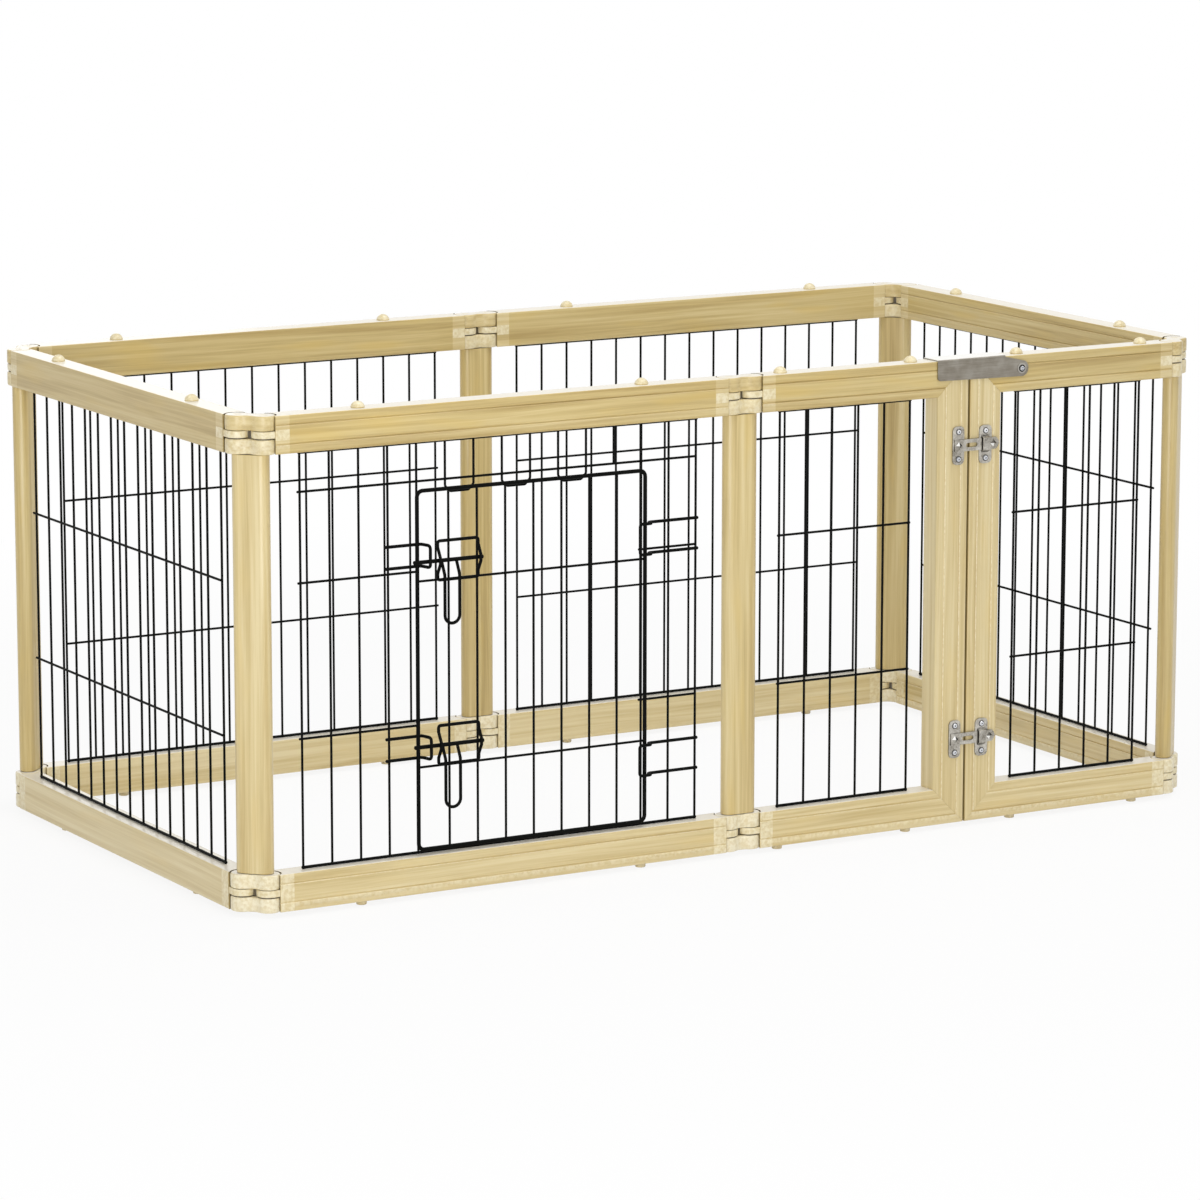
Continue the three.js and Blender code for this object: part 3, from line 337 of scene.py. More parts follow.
def timber(place, u, v, w):
    """Skin of a box bent by a formula. place(u, v, w) gives the x, y and z of a point u along, v
    across and w up; the six sides are grids of it with one of the three held at its end."""
    steps = [np.asarray(a, float) for a in (u, v, w)]
    points, quads, count = [], [], 0
    for axis, end in product(range(3), (0, -1)):
        first, second = [k for k in range(3) if k != axis]
        a, b = np.meshgrid(steps[first], steps[second], indexing="ij")
        held = [None, None, None]
        held[axis] = np.full_like(a, steps[axis][end])
        held[first], held[second] = a, b
        side = np.stack(place(*held), -1).reshape(-1, 3)
        faces = grid_faces(*a.shape) + count
        outwards = (end == -1) != (axis == 1)
        points.append(side)
        quads.append(faces if outwards else faces[:, ::-1])
        count += len(side)
    return welded(np.concatenate(points), np.concatenate(quads))


def plate(outline, low, high, edge, steps=3):
    """An outline in x and y, anticlockwise, given thickness. Ring k of each rim lies edge * (1 -
    sin a) inside the outline and edge * (1 - cos a) from the face, for a from 0 to 90 degrees."""
    outline = np.asarray(outline, float)
    along = unit(np.roll(outline, -1, 0) - np.roll(outline, 1, 0))
    out = np.stack([along[:, 1], -along[:, 0]], -1)
    angle = np.linspace(0, np.pi / 2, steps + 1)
    inset = np.concatenate([edge * (1 - np.sin(angle)), edge * (1 - np.cos(angle))])
    rise = edge * (1 - np.cos(angle))
    height = np.concatenate([low + rise, high - rise[::-1]])
    flat = outline[None] - out[None] * inset[:, None, None]
    heights = np.broadcast_to(height[:, None, None], flat.shape[:2] + (1,))
    points = np.concatenate([flat, heights], -1)
    rows, columns = flat.shape[:2]
    faces = grid_faces(rows, columns, closed=True)[:, ::-1].tolist()
    faces.append(list(range(columns))[::-1])
    faces.append([(rows - 1) * columns + k for k in range(columns)])
    return Solid(points.reshape(-1, 3), faces)


def bent(corners, radius, steps=5):
    """A path of straight runs with round bends: at a corner with directions a in and b out, the
    bend starts radius * tan(half the turn) before it and runs round a circle that touches both."""
    corners = np.asarray(corners, float)
    runs = unit(np.diff(corners, axis=0))
    a, b = runs[:-1], runs[1:]
    turn = np.arccos(np.clip((a * b).sum(1), -1, 1))[:, None, None]
    side = unit(b - a * (a * b).sum(1)[:, None])
    angle = turn * np.linspace(0, 1, steps + 1)[None, :, None]
    start = corners[1:-1] - a * (radius * np.tan(turn[:, 0] / 2))
    swing = np.sin(angle) * a[:, None] + (1 - np.cos(angle)) * side[:, None]
    bends = start[:, None] + radius * swing
    return np.concatenate([corners[:1], bends.reshape(-1, 3), corners[-1:]])


TIP_REACH = 0.3
TIP_WIDTH = 0.7


def wire(path, thickness, sides=10, closed=False, skew=(0.36, 0.48, 0.80)):
    """A ring carried along a path. At each point the ring lies across the mean of the runs beside
    it, its first direction being that mean crossed with one skew vector that no run follows. An
    open end tapers to a flat tip; the tip's reach and width are shares of the radius."""
    path = np.asarray(path, float)
    around = np.roll(path, -1, 0) - np.roll(path, 1, 0)
    ahead = unit(around if closed else np.gradient(path, axis=0))
    first = unit(np.cross(ahead, skew))
    second = np.cross(ahead, first)
    angle = np.linspace(0, 2 * np.pi, sides, endpoint=False)
    c, s = np.cos(angle)[:, None], np.sin(angle)[:, None]
    radius = thickness / 2
    ring = radius * (c * first[:, None] + s * second[:, None])
    points = path[:, None] + ring
    if closed:
        points = np.concatenate([points, points[:1]])
        faces = grid_faces(len(points), sides, closed=True)[:, ::-1]
        return welded(points.reshape(-1, 3), faces)
    tips = [path[n] + sign * TIP_REACH * radius * ahead[n] + TIP_WIDTH * ring[n]
            for n, sign in ((0, -1), (-1, 1))]
    points = np.concatenate([tips[:1], points, tips[1:]])
    rows = len(points)
    faces = grid_faces(rows, sides, closed=True)[:, ::-1].tolist()
    faces.append(list(range(sides)))
    faces.append([(rows - 1) * sides + k for k in range(sides)][::-1])
    return Solid(points.reshape(-1, 3), faces)


def turned(profile, centre, axis="z", sides=24):
    """A profile of radius and height pairs spun round the z axis, or round -y when axis is y."""
    radius, height = np.asarray(profile, float).T
    angle = np.linspace(0, 2 * np.pi, sides, endpoint=False)
    x = radius[:, None] * np.cos(angle)
    y = radius[:, None] * np.sin(angle)
    z = np.broadcast_to(height[:, None], x.shape)
    points = np.stack([x, y, z] if axis == "z" else [x, -z, y], -1).reshape(-1, 3)
    faces = grid_faces(len(radius), sides, closed=True)[:, ::-1]
    solid = welded(points, faces)
    return Solid(solid.points + np.array(centre), solid.faces)


def arc(x, y, radius, start, end, steps):
    """Points round a circle from one angle to another: the centre + radius * (cos, sin)."""
    angle = np.linspace(start, end, steps)
    return np.stack([x + radius * np.cos(angle), y + radius * np.sin(angle)], -1)


# %% Pieces from solids
SHARP_ANGLE = math.radians(35)
made = []


def add_piece(name, solids, finish, body, replaces=()):
    """Puts solids into one object at the origin, with its timber places and tone as attributes
    and soft shading that breaks at edges sharper than the angle above. A finish is a material
    and the name of its slot; the slot's name is not used."""
    whole = joined(solids)
    material, slot = finish
    mesh = bpy.data.meshes.new(name)
    mesh.from_pydata((whole.points * MM).tolist(), [], whole.faces)
    grain = mesh.attributes.new("grain", "FLOAT_VECTOR", "POINT")
    grain.data.foreach_set("vector", (whole.grain * MM).ravel())
    mesh.attributes.new("tone", "FLOAT", "POINT").data.foreach_set("value", whole.tone)
    mesh.update()
    mesh.shade_smooth()
    mesh.set_sharp_from_angle(angle=SHARP_ANGLE)
    mesh.materials.append(material)
    piece = bpy.data.objects.new(name, mesh)
    bpy.context.scene.collection.objects.link(piece)
    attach(piece, body)
    if replaces:
        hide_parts(*replaces)
    made.append((name, len(mesh.polygons)))


# %% [markdown]
# ## Lacquered pine
# The timbers are planed pine under a thin satin lacquer. The grain shows as long streaks some
# millimetres wide, a little paler and darker than the wood between, with fine fibres in them and a
# few yellower patches. The lacquer is a coat over the wood that mirrors the white room, and the top
# faces are also painted nearly white, a painted sheen. Some pieces are painted paler or darker for
# the light that reaches them, and the gaps of the joints are painted dark as shade. The pattern
# follows each timber's own attribute, so it never runs across a joint. The blocks at the rails'
# ends and the links show their end fibres, so they are paler and speckled.

# %% Pine
# colour of the painted shade in the gaps of the joints
JOINT_SHADE = "#22180B"
# cycles per metre along the grain and across it, and the detail, of each layer of the pattern
PINE_LAYERS = {
    "waver": (2.2, 12.0, 1.0),
    "streaks": (3.5, 210.0, 4.0),
    "bands": (1.5, 60.0, 1.0),
    "fibres": (14.0, 1400.0, 2.0),
    "patches": (8.0, 45.0, 1.0),
    "mottle": (210.0, 210.0, 2.0),
}
# share of each layer in the late wood, which is the darker part of a year's growth
LATE_WOOD = {"streaks": 0.50, "bands": 0.35, "fibres": 0.15}


def pine(name, early, middle, late, patch, end_early, end_late, sheen_colour):
    """Pine from streaks, bands and fibres under a clear lacquer. Tones up to the first limit mix
    it with a paler board of the same grain, and higher ones with the mottled wood of a block's
    end; past 1 it takes a painted sheen, and under zero the painted shade of a joint."""
    material, tree = new_material(name)
    place = add_node(tree, "Attribute", attribute_name="grain").outputs["Vector"]
    tone = add_node(tree, "Attribute", attribute_name="tone").outputs["Fac"]
    layers = {}
    for layer, (along, across, detail) in PINE_LAYERS.items():
        laid = add_node(tree, "Mapping", {"Vector": place, "Scale": (along, across, across)})
        noise = add_node(tree, "TexNoise", {
            "Vector": laid, "Scale": 1.0, "Detail": detail, "Roughness": 0.55,
        })
        layers[layer] = noise
        if layer == "waver":
            # the trunk's slow waver bends every later layer by a few millimetres
            bend = add_node(tree, "VectorMath", {
                0: noise.outputs["Color"], 1: (0.0, 0.012, 0.012),
            }, operation="MULTIPLY")
            place = add_node(tree, "VectorMath", {
                0: place, 1: bend,
            }, operation="ADD")
    growth = 0.0
    for layer, share in LATE_WOOD.items():
        growth = add_node(tree, "Math", {
            0: layers[layer], 1: share, 2: growth,
        }, operation="MULTIPLY_ADD")
    colours = {}
    for part, factor, stops in (
        ("wood", growth, [(0.37, early), (0.49, middle), (0.63, late)]),
        ("board", growth, [(0.36, end_early), (0.66, early)]),
        ("block", layers["mottle"], [(0.36, end_late), (0.62, end_early)]),
    ):
        colours[part] = add_node(tree, "ValToRGB", {"Fac": factor}, stops)
    shares = {"paleness": tone}
    for part, value, low, high, most in (
        ("patch", layers["patches"], 0.58, 0.76, 0.45),
        ("block", tone, BOARD_TONE, BLOCK_TONE, 1.0),
        # over tone 1 the painted sheen, under zero the painted shade of a joint
        ("painted_sheen", tone, 1.0, PAINTED_SHEEN_TONE, 1.0),
        ("painted_shade", tone, 0.0, -1.0, 1.0),
    ):
        shares[part] = add_node(tree, "MapRange", {
            "Value": value, "From Min": low, "From Max": high, "To Max": most,
        })
    pale_wood = add_node(tree, "Mix", {
        0: shares["block"], 6: colours["board"], 7: colours["block"],
    }, data_type="RGBA").outputs[2]
    colour = colours["wood"]
    for part, second in (
        ("patch", linear(patch)), ("paleness", pale_wood), ("painted_sheen", linear(sheen_colour)),
        ("painted_shade", linear(JOINT_SHADE)),
    ):
        colour = add_node(tree, "Mix", {
            0: shares[part], 6: colour, 7: second,
        }, data_type="RGBA").outputs[2]
    height = add_node(tree, "Math", {0: layers["fibres"], 1: layers["streaks"]}, operation="ADD")
    relief = add_node(tree, "Bump", {"Height": height, "Strength": 0.2, "Distance": 0.00015})
    shader = add_node(tree, "BsdfPrincipled", {
        "Base Color": colour, "Roughness": 0.42, "IOR": 1.5, "Coat Weight": 0.35,
        "Coat Roughness": 0.16, "Coat IOR": 1.5, "Normal": relief,
    })
    add_node(tree, "OutputMaterial", {"Surface": shader})
    return material


# the sheen colour is the painted near-white of the top faces
lacquered_pine = pine("lacquered_planed_pine", early="#DECA92", middle="#D1BA7D", late="#B89E61",
                      patch="#DCBD68", end_early="#F3E9C9", end_late="#E1D1A4", sheen_colour="#EDE6D5")
PINE = (lacquered_pine, "pine")
LINK_PINE = (lacquered_pine, "link_pine")
print("pine", len(lacquered_pine.node_tree.nodes), "nodes")

# %% [markdown]
# ## Powder-coated wire
# The wire is steel rod under black powder coat, baked smooth. It is nearly black and has a soft
# shine along each wire. A fine orange-peel relief breaks the shine up a little.

# %% Powder coat


def powder_coat(name, colour, worn):
    """Black polymer over steel: a low sheen with an orange-peel bump about a millimetre across."""
    material, tree = new_material(name)
    place = add_node(tree, "TexCoord").outputs["Object"]
    peel = add_node(tree, "TexNoise", {"Vector": place, "Scale": 900.0, "Detail": 2.0})
    cloud = add_node(tree, "TexNoise", {"Vector": place, "Scale": 14.0, "Detail": 2.0})
    tint = add_node(tree, "ValToRGB", {"Fac": cloud}, [(0.35, colour), (0.7, worn)])
    gloss = add_node(tree, "MapRange", {
        "Value": cloud, "From Min": 0.3, "From Max": 0.7, "To Min": 0.50, "To Max": 0.60,
    })
    relief = add_node(tree, "Bump", {"Height": peel, "Strength": 0.1, "Distance": 0.0001})
    shader = add_node(tree, "BsdfPrincipled", {
        "Base Color": tint, "Roughness": gloss, "IOR": 1.45, "Specular IOR Level": 0.07,
        "Normal": relief,
    })
    add_node(tree, "OutputMaterial", {"Surface": shader})
    return material


BLACK_WIRE = (powder_coat("black_powder_coated_wire", "#060706", "#0C0D0B"), "black_wire")
print("powder coat", BLACK_WIRE[0].name)

# %% [markdown]
# ## Steel fittings
# The clasp is plain stainless sheet, brushed along its length, and the latches are zinc-plated and
# brighter. Both are metal, so their colour is that of what they mirror; the brushing is a fine
# relief that is long one way, and the plating has a faint cloudy crystal pattern. Shade is painted
# darker into their creases, the rims that touch the wood and the rings round the screws, and
# highlights are painted paler on some edges and facets; there the steel reads the tone of each
# point.

# %% Steel
# colours of the painted shade in creases and the painted highlight on edges and facets
CREASE_SHADE = "#1C1914"
HIGHLIGHT_COLOUR = "#F1F0EC"


def steel(name, dark, light, scale, roughness, relief_depth):
    """Metal with a directional noise in both its colour and its roughness. A tone over zero is
    painted shade in a crease, and one under zero a painted highlight."""
    material, tree = new_material(name)
    place = add_node(tree, "TexCoord").outputs["Object"]
    tone = add_node(tree, "Attribute", attribute_name="tone").outputs["Fac"]
    laid = add_node(tree, "Mapping", {"Vector": place, "Scale": scale})
    brushing = add_node(tree, "TexNoise", {
        "Vector": laid, "Scale": 1.0, "Detail": 4.0, "Roughness": 0.65,
    })
    cloud = add_node(tree, "TexNoise", {"Vector": place, "Scale": 60.0, "Detail": 2.0})
    both = add_node(tree, "Math", {0: brushing, 1: cloud}, operation="ADD")
    half = add_node(tree, "Math", {0: both, 1: 0.5}, operation="MULTIPLY")
    clean = add_node(tree, "ValToRGB", {"Fac": half}, [(0.38, dark), (0.62, light)])
    # share of painted highlight for tones under zero
    painted_highlight = add_node(tree, "MapRange", {"Value": tone, "From Min": 0.0, "From Max": -1.0})
    colour = clean
    for share, second in ((painted_highlight, HIGHLIGHT_COLOUR), (tone, CREASE_SHADE)):
        colour = add_node(tree, "Mix", {
            0: share, 6: colour, 7: linear(second),
        }, data_type="RGBA").outputs[2]
    gloss = add_node(tree, "MapRange", {
        "Value": half, "From Min": 0.3, "From Max": 0.7,
        "To Min": roughness, "To Max": roughness + 0.12,
    })
    relief = add_node(tree, "Bump", {
        "Height": brushing, "Strength": 0.3, "Distance": relief_depth,
    })
    shader = add_node(tree, "BsdfPrincipled", {
        "Base Color": colour, "Metallic": 1.0, "Roughness": gloss, "Normal": relief,
    })
    add_node(tree, "OutputMaterial", {"Surface": shader})
    return material


steels = {}
for name, dark, light, scale, roughness, relief_depth in (
    ("brushed_stainless_sheet", "#837C70", "#9F9A90", (30.0, 1600.0, 1600.0), 0.34, 0.00004),
    ("zinc_plated_pressed_steel", "#8F8A80", "#CFCBC2", (420.0, 420.0, 420.0), 0.24, 0.00004),
    ("bright_zinc_screw_head", "#CFD2D8", "#F4F5F7", (300.0, 300.0, 300.0), 0.14, 0.00001),
):
    steels[name] = steel(name, dark, light, scale, roughness, relief_depth)
CLASP_STEEL = (steels["brushed_stainless_sheet"], "clasp_steel")
LATCH_STEEL = (steels["zinc_plated_pressed_steel"], "latch_steel")
SCREW_STEEL = (steels["bright_zinc_screw_head"], "latch_steel")
print("steels", len(steels))

# %% [markdown]
# ## Rails
# A rail is a 46 by 30 mm timber with its long edges eased and two fine grooves along its face. Its
# end is hollowed to a scoop that fits round the link, and a tongue stands out of the scoop at
# mid height. A plain box could be cut by booleans, but a formula gives the scoop, the grooves and
# the gates' mitres at once: the face's depth depends on the height, and the end on the depth.

# %% Rail timbers
SCOOP_RADIUS = 15.8
SHOULDER_SETBACK = 8.5
SCOOP_REACH = 13
TONGUE_LOW = 19.3
TONGUE_HIGH = 27.6
TONGUE_RADIUS = 14.6
TONGUE_ROOT = 14.2
TONGUE_SINK = 1
TONGUE_EDGE = 0.8
TONGUE_TONE = 0.9
END_BLOCK = 27
END_BLOCK_JOINT = 0.6
BLOCK_LAYER = (16.5, 29)
END_SHADE = 0.5
LIP = 0.5
# painted shade in the bottom of each groove
GROOVE_SHADE = 0.14
# heights between which the lip under each groove is painted paler as a highlight: the lower band is
# the wider
LIP_HIGHLIGHTS = ((9.5, 10.5), (33, 33.5))
LIP_HIGHLIGHT_RISE = 0.25
# painted shade on the flat shoulder beside a link
SHOULDER_SHADE_TONE = -0.4
INNER_TONE = 0.85
OUTER_RISE = 0.35
# tone of each panel's top rail: painted shade, darker on the panels that the light reaches less,
# most of all the right gate
TOP_RAIL_LIGHT_TONES = {
    "front_left": 0.0, "left_gate": -0.03, "right_gate": -0.07, "left_end": -0.06,
    "right_end": -0.02, "back_left": -0.04, "back_right": -0.04,
}
# painted light: the bottom rails are painted paler, towards the paler board, for the light that the
# floor throws up on them
BOTTOM_RAIL_LIGHT_TONE = 0.42


def eased(height, whole, radius):
    """How far a face steps back near its two long edges: a quarter circle of the given radius."""
    near = np.clip(np.minimum(height, whole - height), 0, radius)
    return radius - np.sqrt(np.maximum(radius ** 2 - (radius - near) ** 2, 0))


def grooves(height, whole):
    """Depth of the two grooves: a V of one depth and half width at the inset from each edge."""
    near = np.minimum(np.abs(height - GROOVE_INSET), np.abs(whole - GROOVE_INSET - height))
    return GROOVE_DEPTH * np.clip(1 - near / GROOVE_HALF, 0, 1)


def width_steps(whole):
    """Heights of a grooved face where its profile turns, from one edge to the other."""
    angle = np.linspace(0, np.pi / 2, 5)
    edge = RAIL_EDGE * (1 - np.cos(angle))
    cut = GROOVE_INSET + GROOVE_HALF * np.array([-1 - LIP, -1, 0, 1, 1 + LIP])
    layer = np.add.outer(BLOCK_LAYER, (-END_BLOCK_JOINT / 2, END_BLOCK_JOINT / 2)).ravel()
    return np.unique(np.round(np.concatenate([edge, cut, layer, whole - cut, whole - edge]), 5))


def scoop_end(y, z=None):
    """Distance from the pivot to a rail's end: round the link's lobe, then the flat shoulder."""
    return np.maximum(SHOULDER_SETBACK, np.sqrt(np.maximum(SCOOP_RADIUS ** 2 - y ** 2, 0)))


def rail_timber(left, right, left_end, right_end):
    """A rail between two x places. Each end function gives how far the end lies inside at a depth
    y and height z."""
    half = RAIL_THICKNESS / 2
    block = END_BLOCK - SHOULDER_SETBACK
    bead = np.array([0, END_SHADE, block - END_BLOCK_JOINT / 2, block + END_BLOCK_JOINT / 2])
    run = right - left
    along = np.concatenate([bead, [run / 2], run - bead[::-1]]) / run
    kink = math.sqrt(SCOOP_RADIUS ** 2 - SHOULDER_SETBACK ** 2)
    depth = np.sort(np.concatenate([np.linspace(-half, half, 13), [-kink, kink]]))

    def place(u, v, w):
        z = w * RAIL_HEIGHT
        front = -half + eased(z, RAIL_HEIGHT, RAIL_EDGE) + grooves(z, RAIL_HEIGHT)
        back = half - eased(z, RAIL_HEIGHT, RAIL_EDGE)
        y = front + (back - front) * v
        start = left + left_end(y, z)
        end = right - right_end(y, z)
        near_right = np.where(u > 0.5, end - (1 - u) * run, (start + end) / 2)
        return np.where(u < 0.5, start + u * run, near_right), y, z

    heights = width_steps(RAIL_HEIGHT) / RAIL_HEIGHT
    return timber(place, along, (depth + half) / RAIL_THICKNESS, heights)


def mitre_up(y, z):
    """End of a top rail at the stile: at 45 degrees, longest at the top edge."""
    return STILE_WIDTH * (1 - z / RAIL_HEIGHT)


def mitre_down(y, z):
    """End of a bottom rail at the stile: at 45 degrees, longest at the bottom edge."""
    return STILE_WIDTH * z / RAIL_HEIGHT


def with_end_blocks(solid, pivots, wood_tone):
    """Tones of a rail. The blocks near the pivots are paler, most so in the layer of the tongues;
    the top face has a painted sheen, the lip under each groove a painted highlight, and painted
    shade lies in the grooves and on the ends that face a link."""
    x, y, z = solid.points.T
    near = np.min(np.abs(x[:, None] - np.array(pivots)[None]), axis=1)
    inner = (z > BLOCK_LAYER[0]) & (z < BLOCK_LAYER[1])
    block_tone = np.where(inner, INNER_TONE, wood_tone + OUTER_RISE)
    inside = np.clip((END_BLOCK - near) / END_BLOCK_JOINT + 0.5, 0, 1)
    tone = wood_tone + (block_tone - wood_tone) * inside
    # painted sheen: the top face is painted nearly white
    tone = np.where(z > RAIL_HEIGHT - TOUCH / 2, PAINTED_SHEEN_TONE, tone)
    # painted shade in the grooves of the face
    tone = tone - GROOVE_SHADE * ((grooves(z, RAIL_HEIGHT) > GROOVE_DEPTH / 2) & (y < 0))
    # painted highlight on the lip under each groove
    for low, high in LIP_HIGHLIGHTS:
        tone = tone + LIP_HIGHLIGHT_RISE * ((z > low) & (z < high) & (y < 0))
    # painted shade on the ends that face a link, darkest in the scoop
    end_tone = np.where(np.abs(y) < SCOOP_REACH, JOINT_SHADE_TONE, SHOULDER_SHADE_TONE)
    tone = np.where(near - scoop_end(y) < END_SHADE / 2, end_tone, tone)
    return solid.toned(tone)


def tongue(pivot, inward):
    """A plate round the pivot with a round end, tapering to its root in the rail's scoop."""
    root = pivot + inward * (SCOOP_RADIUS + TONGUE_SINK)
    start = np.pi / 2 if inward > 0 else -np.pi / 2
    end = arc(pivot, 0, TONGUE_RADIUS, start, start + np.pi, 19)
    outline = np.concatenate([end, [[root, -inward * TONGUE_ROOT], [root, inward * TONGUE_ROOT]]])
    return plate(outline, TONGUE_LOW, TONGUE_HIGH, TONGUE_EDGE).toned(TONGUE_TONE)


BUTTON_RADIUS = 8.5
BUTTON_HEIGHT = 7.8
BUTTON_WAIST = 0.82 * BUTTON_RADIUS
# painted shade round the foot of each button
BUTTON_RIM_SHADE = -0.25
BUTTON_TONE = 0.85
FOOT_RADIUS = 6.5
FOOT_EASE = 1
FOOT_ROUND = 0.3
FOOT_TONE = 0.7
STUD_SINK = 1


def button(x):
    """A turned dome: a quarter ellipse over a short waist."""
    angle = np.linspace(0, np.pi / 2, 9)
    dome = np.stack([BUTTON_RADIUS * np.cos(angle), BUTTON_HEIGHT * np.sin(angle)], -1)
    waist = [[0, -STUD_SINK], [BUTTON_WAIST, -STUD_SINK], [BUTTON_WAIST, 0]]
    stud = turned(np.concatenate([waist, dome]), (x, 0, RAIL_HEIGHT))
    # the button's foot is painted darker as shade
    rim = stud.points[:, 2] < RAIL_HEIGHT + TOUCH
    return stud.toned(np.where(rim, BUTTON_RIM_SHADE, BUTTON_TONE))


def foot(x):
    """A turned peg with an eased lower rim, standing on the floor."""
    r, h = FOOT_RADIUS, FLOOR_TO_RAIL
    profile = [(0, -h), (r - FOOT_EASE, -h), (r - FOOT_ROUND, -h + FOOT_ROUND), (r, -h + FOOT_EASE),
               (r, STUD_SINK), (0, STUD_SINK)]
    return turned(profile, (x, 0, 0)).toned(FOOT_TONE)


print("rail profile has", len(width_steps(RAIL_HEIGHT)), "levels")

# %% [markdown]
# ## Placing the panels
# The same panel stands in five places, turned to face in or out, so each is made once at its own
# left pivot and then turned and moved. Every timber gets its own shift into the grain, as though it
# were cut from another board.

# %% Panels of rails
panel_places = {
    "front_left": (-652.2, FRONT_Y, 0.0),
    "left_end": (-674.827, -313.7, 90.0),
    "right_end": (674.827, 322.5, -90.0),
    "back_left": (-16, BACK_Y, 180.0),
    "back_right": (652.2, BACK_Y, 180.0),
}
panel_bodies = {name: f"{name}_panel" for name in panel_places}
boards = np.random.default_rng(11)
BOARD_SHIFTS = ((-1500, -20, 30), (1500, 20, 70))


def from_own_board(solid):
    """The same solid cut from another place in another board."""
    shift = boards.uniform(*BOARD_SHIFTS)
    return Solid(solid.points, solid.faces, solid.grain + shift, solid.tone)


def stand(solids, place, lift=0.0):
    """The solids of one piece, turned and moved to its place in the pen."""
    x, y, turn = place
    return [solid.moved(x, y, FLOOR_TO_RAIL + lift, math.radians(turn)) for solid in solids]


wires = FIRST_WIRE + WIRE_PITCH * np.arange(PITCHES + 1)
STUD_WIRES = (2, 12)
top_lift = FRAME_HEIGHT - RAIL_HEIGHT
bare_rail = rail_timber(0, PANEL_LENGTH, scoop_end, scoop_end)
tongues = [tongue(0, 1), tongue(PANEL_LENGTH, -1)]
for name, place in panel_places.items():
    for level, wood_tone, fitting, lift in (
        ("top", TOP_RAIL_LIGHT_TONES[name], button, top_lift), ("bottom", BOTTOM_RAIL_LIGHT_TONE, foot, 0.0),
    ):
        rail = with_end_blocks(bare_rail, (0, PANEL_LENGTH), wood_tone)
        studs = [fitting(wires[k]) for k in STUD_WIRES]
        solids = [from_own_board(s) for s in (rail, *tongues, *studs)]
        add_piece(f"{name}_{level}_rail_timber", stand(solids, place, lift), PINE,
                  panel_bodies[name], [f"{name}_{level}_rail"])
print(made[-1])

# %% [markdown]
# ## Gates
# The two gates have the same rails, mitred into an upright stile at their meeting line. The
# grooves turn the corner with the mitre. The stile is the rail's own formula stood on end, with
# both its ends cut at 45 degrees.

# %% Gate frames
GATE_PITCH = 38.4
STILE_TO_WIRE = 32.5
LEFT_GATE_LENGTH = 313
RIGHT_GATE_LENGTH = PANEL_LENGTH - LEFT_GATE_LENGTH - MEETING_GAP
STILE_TONE = 0.42
# painted highlight on each groove's right lip
LIP_HIGHLIGHT_TONE = 0.9
# painted shade on the side that meets the other gate
MEETING_SHADE_TONE = -0.4
GATE_WIRES = 6
gate_places = {"left_gate": (16, FRONT_Y, 0.0), "right_gate": (652.2, FRONT_Y, 0.0)}


def stile_timber(left):
    """An upright timber from one x to another: as wide as a rail, its ends cut at 45 degrees."""
    half = RAIL_THICKNESS / 2
    depth = np.linspace(0, 1, 9)

    def place(u, v, w):
        x = u * STILE_WIDTH
        front = -half + eased(x, STILE_WIDTH, RAIL_EDGE) + grooves(x, STILE_WIDTH)
        back = half - eased(x, STILE_WIDTH, RAIL_EDGE)
        cut = TOUCH + RAIL_HEIGHT * ((1 - x / STILE_WIDTH) if left else (x / STILE_WIDTH))
        return x, front + (back - front) * v, cut + (FRAME_HEIGHT - 2 * cut) * w

    return timber(place, width_steps(STILE_WIDTH) / STILE_WIDTH, depth, [0, 0.5, 1])


def stile_tones(solid, left):
    """Tones of a stile: painted shade in its grooves and on the side that meets the other gate, and
    a painted highlight as a paler line on each groove's right lip."""
    x, y = solid.points[:, 0], solid.points[:, 1]
    # painted shade in the grooves of the face
    tone = STILE_TONE - GROOVE_SHADE * ((grooves(x, STILE_WIDTH) > GROOVE_DEPTH / 2) & (y < 0))
    for groove in (GROOVE_INSET, STILE_WIDTH - GROOVE_INSET):
        # painted highlight on the groove's right lip
        tone = np.where(np.abs(x - groove - GROOVE_HALF) < TOUCH, LIP_HIGHLIGHT_TONE, tone)
    # painted shade on the meeting side
    meeting = STILE_WIDTH if left else 0
    return solid.toned(np.where(np.abs(x - meeting) < TOUCH / 3, MEETING_SHADE_TONE, tone))


gate_wires = {}
for name, sign, length in (
    ("left_gate", 1, LEFT_GATE_LENGTH), ("right_gate", -1, RIGHT_GATE_LENGTH),
):
    place = gate_places[name]
    left = sign > 0
    edge = sign * length
    nearest = edge - sign * (STILE_WIDTH + STILE_TO_WIRE)
    gate_wires[name] = np.sort(nearest - sign * GATE_PITCH * np.arange(GATE_WIRES))
    for level, mitre, fitting, wood_tone, lift in (
        ("top", mitre_up, button, TOP_RAIL_LIGHT_TONES[name], top_lift),
        ("bottom", mitre_down, foot, BOTTOM_RAIL_LIGHT_TONE, 0.0),
    ):
        ends = (0, edge, scoop_end, mitre) if left else (edge, 0, mitre, scoop_end)
        rail = with_end_blocks(rail_timber(*ends), (0,), wood_tone)
        studs = [fitting(gate_wires[name][k]) for k in (0, -1)]
        solids = [from_own_board(s) for s in (rail, tongue(0, sign), *studs)]
        add_piece(f"{name}_{level}_rail_timber", stand(solids, place, lift), PINE, name,
                  [f"{name}_{level}_rail"])
    stile = from_own_board(stile_tones(stile_timber(left).with_grain([2, 1, 0]), left))
    stile = stile.moved(edge - STILE_WIDTH if left else edge)
    add_piece(f"{name}_stile_timber", stand([stile], place), PINE, name, [f"{name}_stile"])
print("gates", gate_wires["left_gate"].round(1))

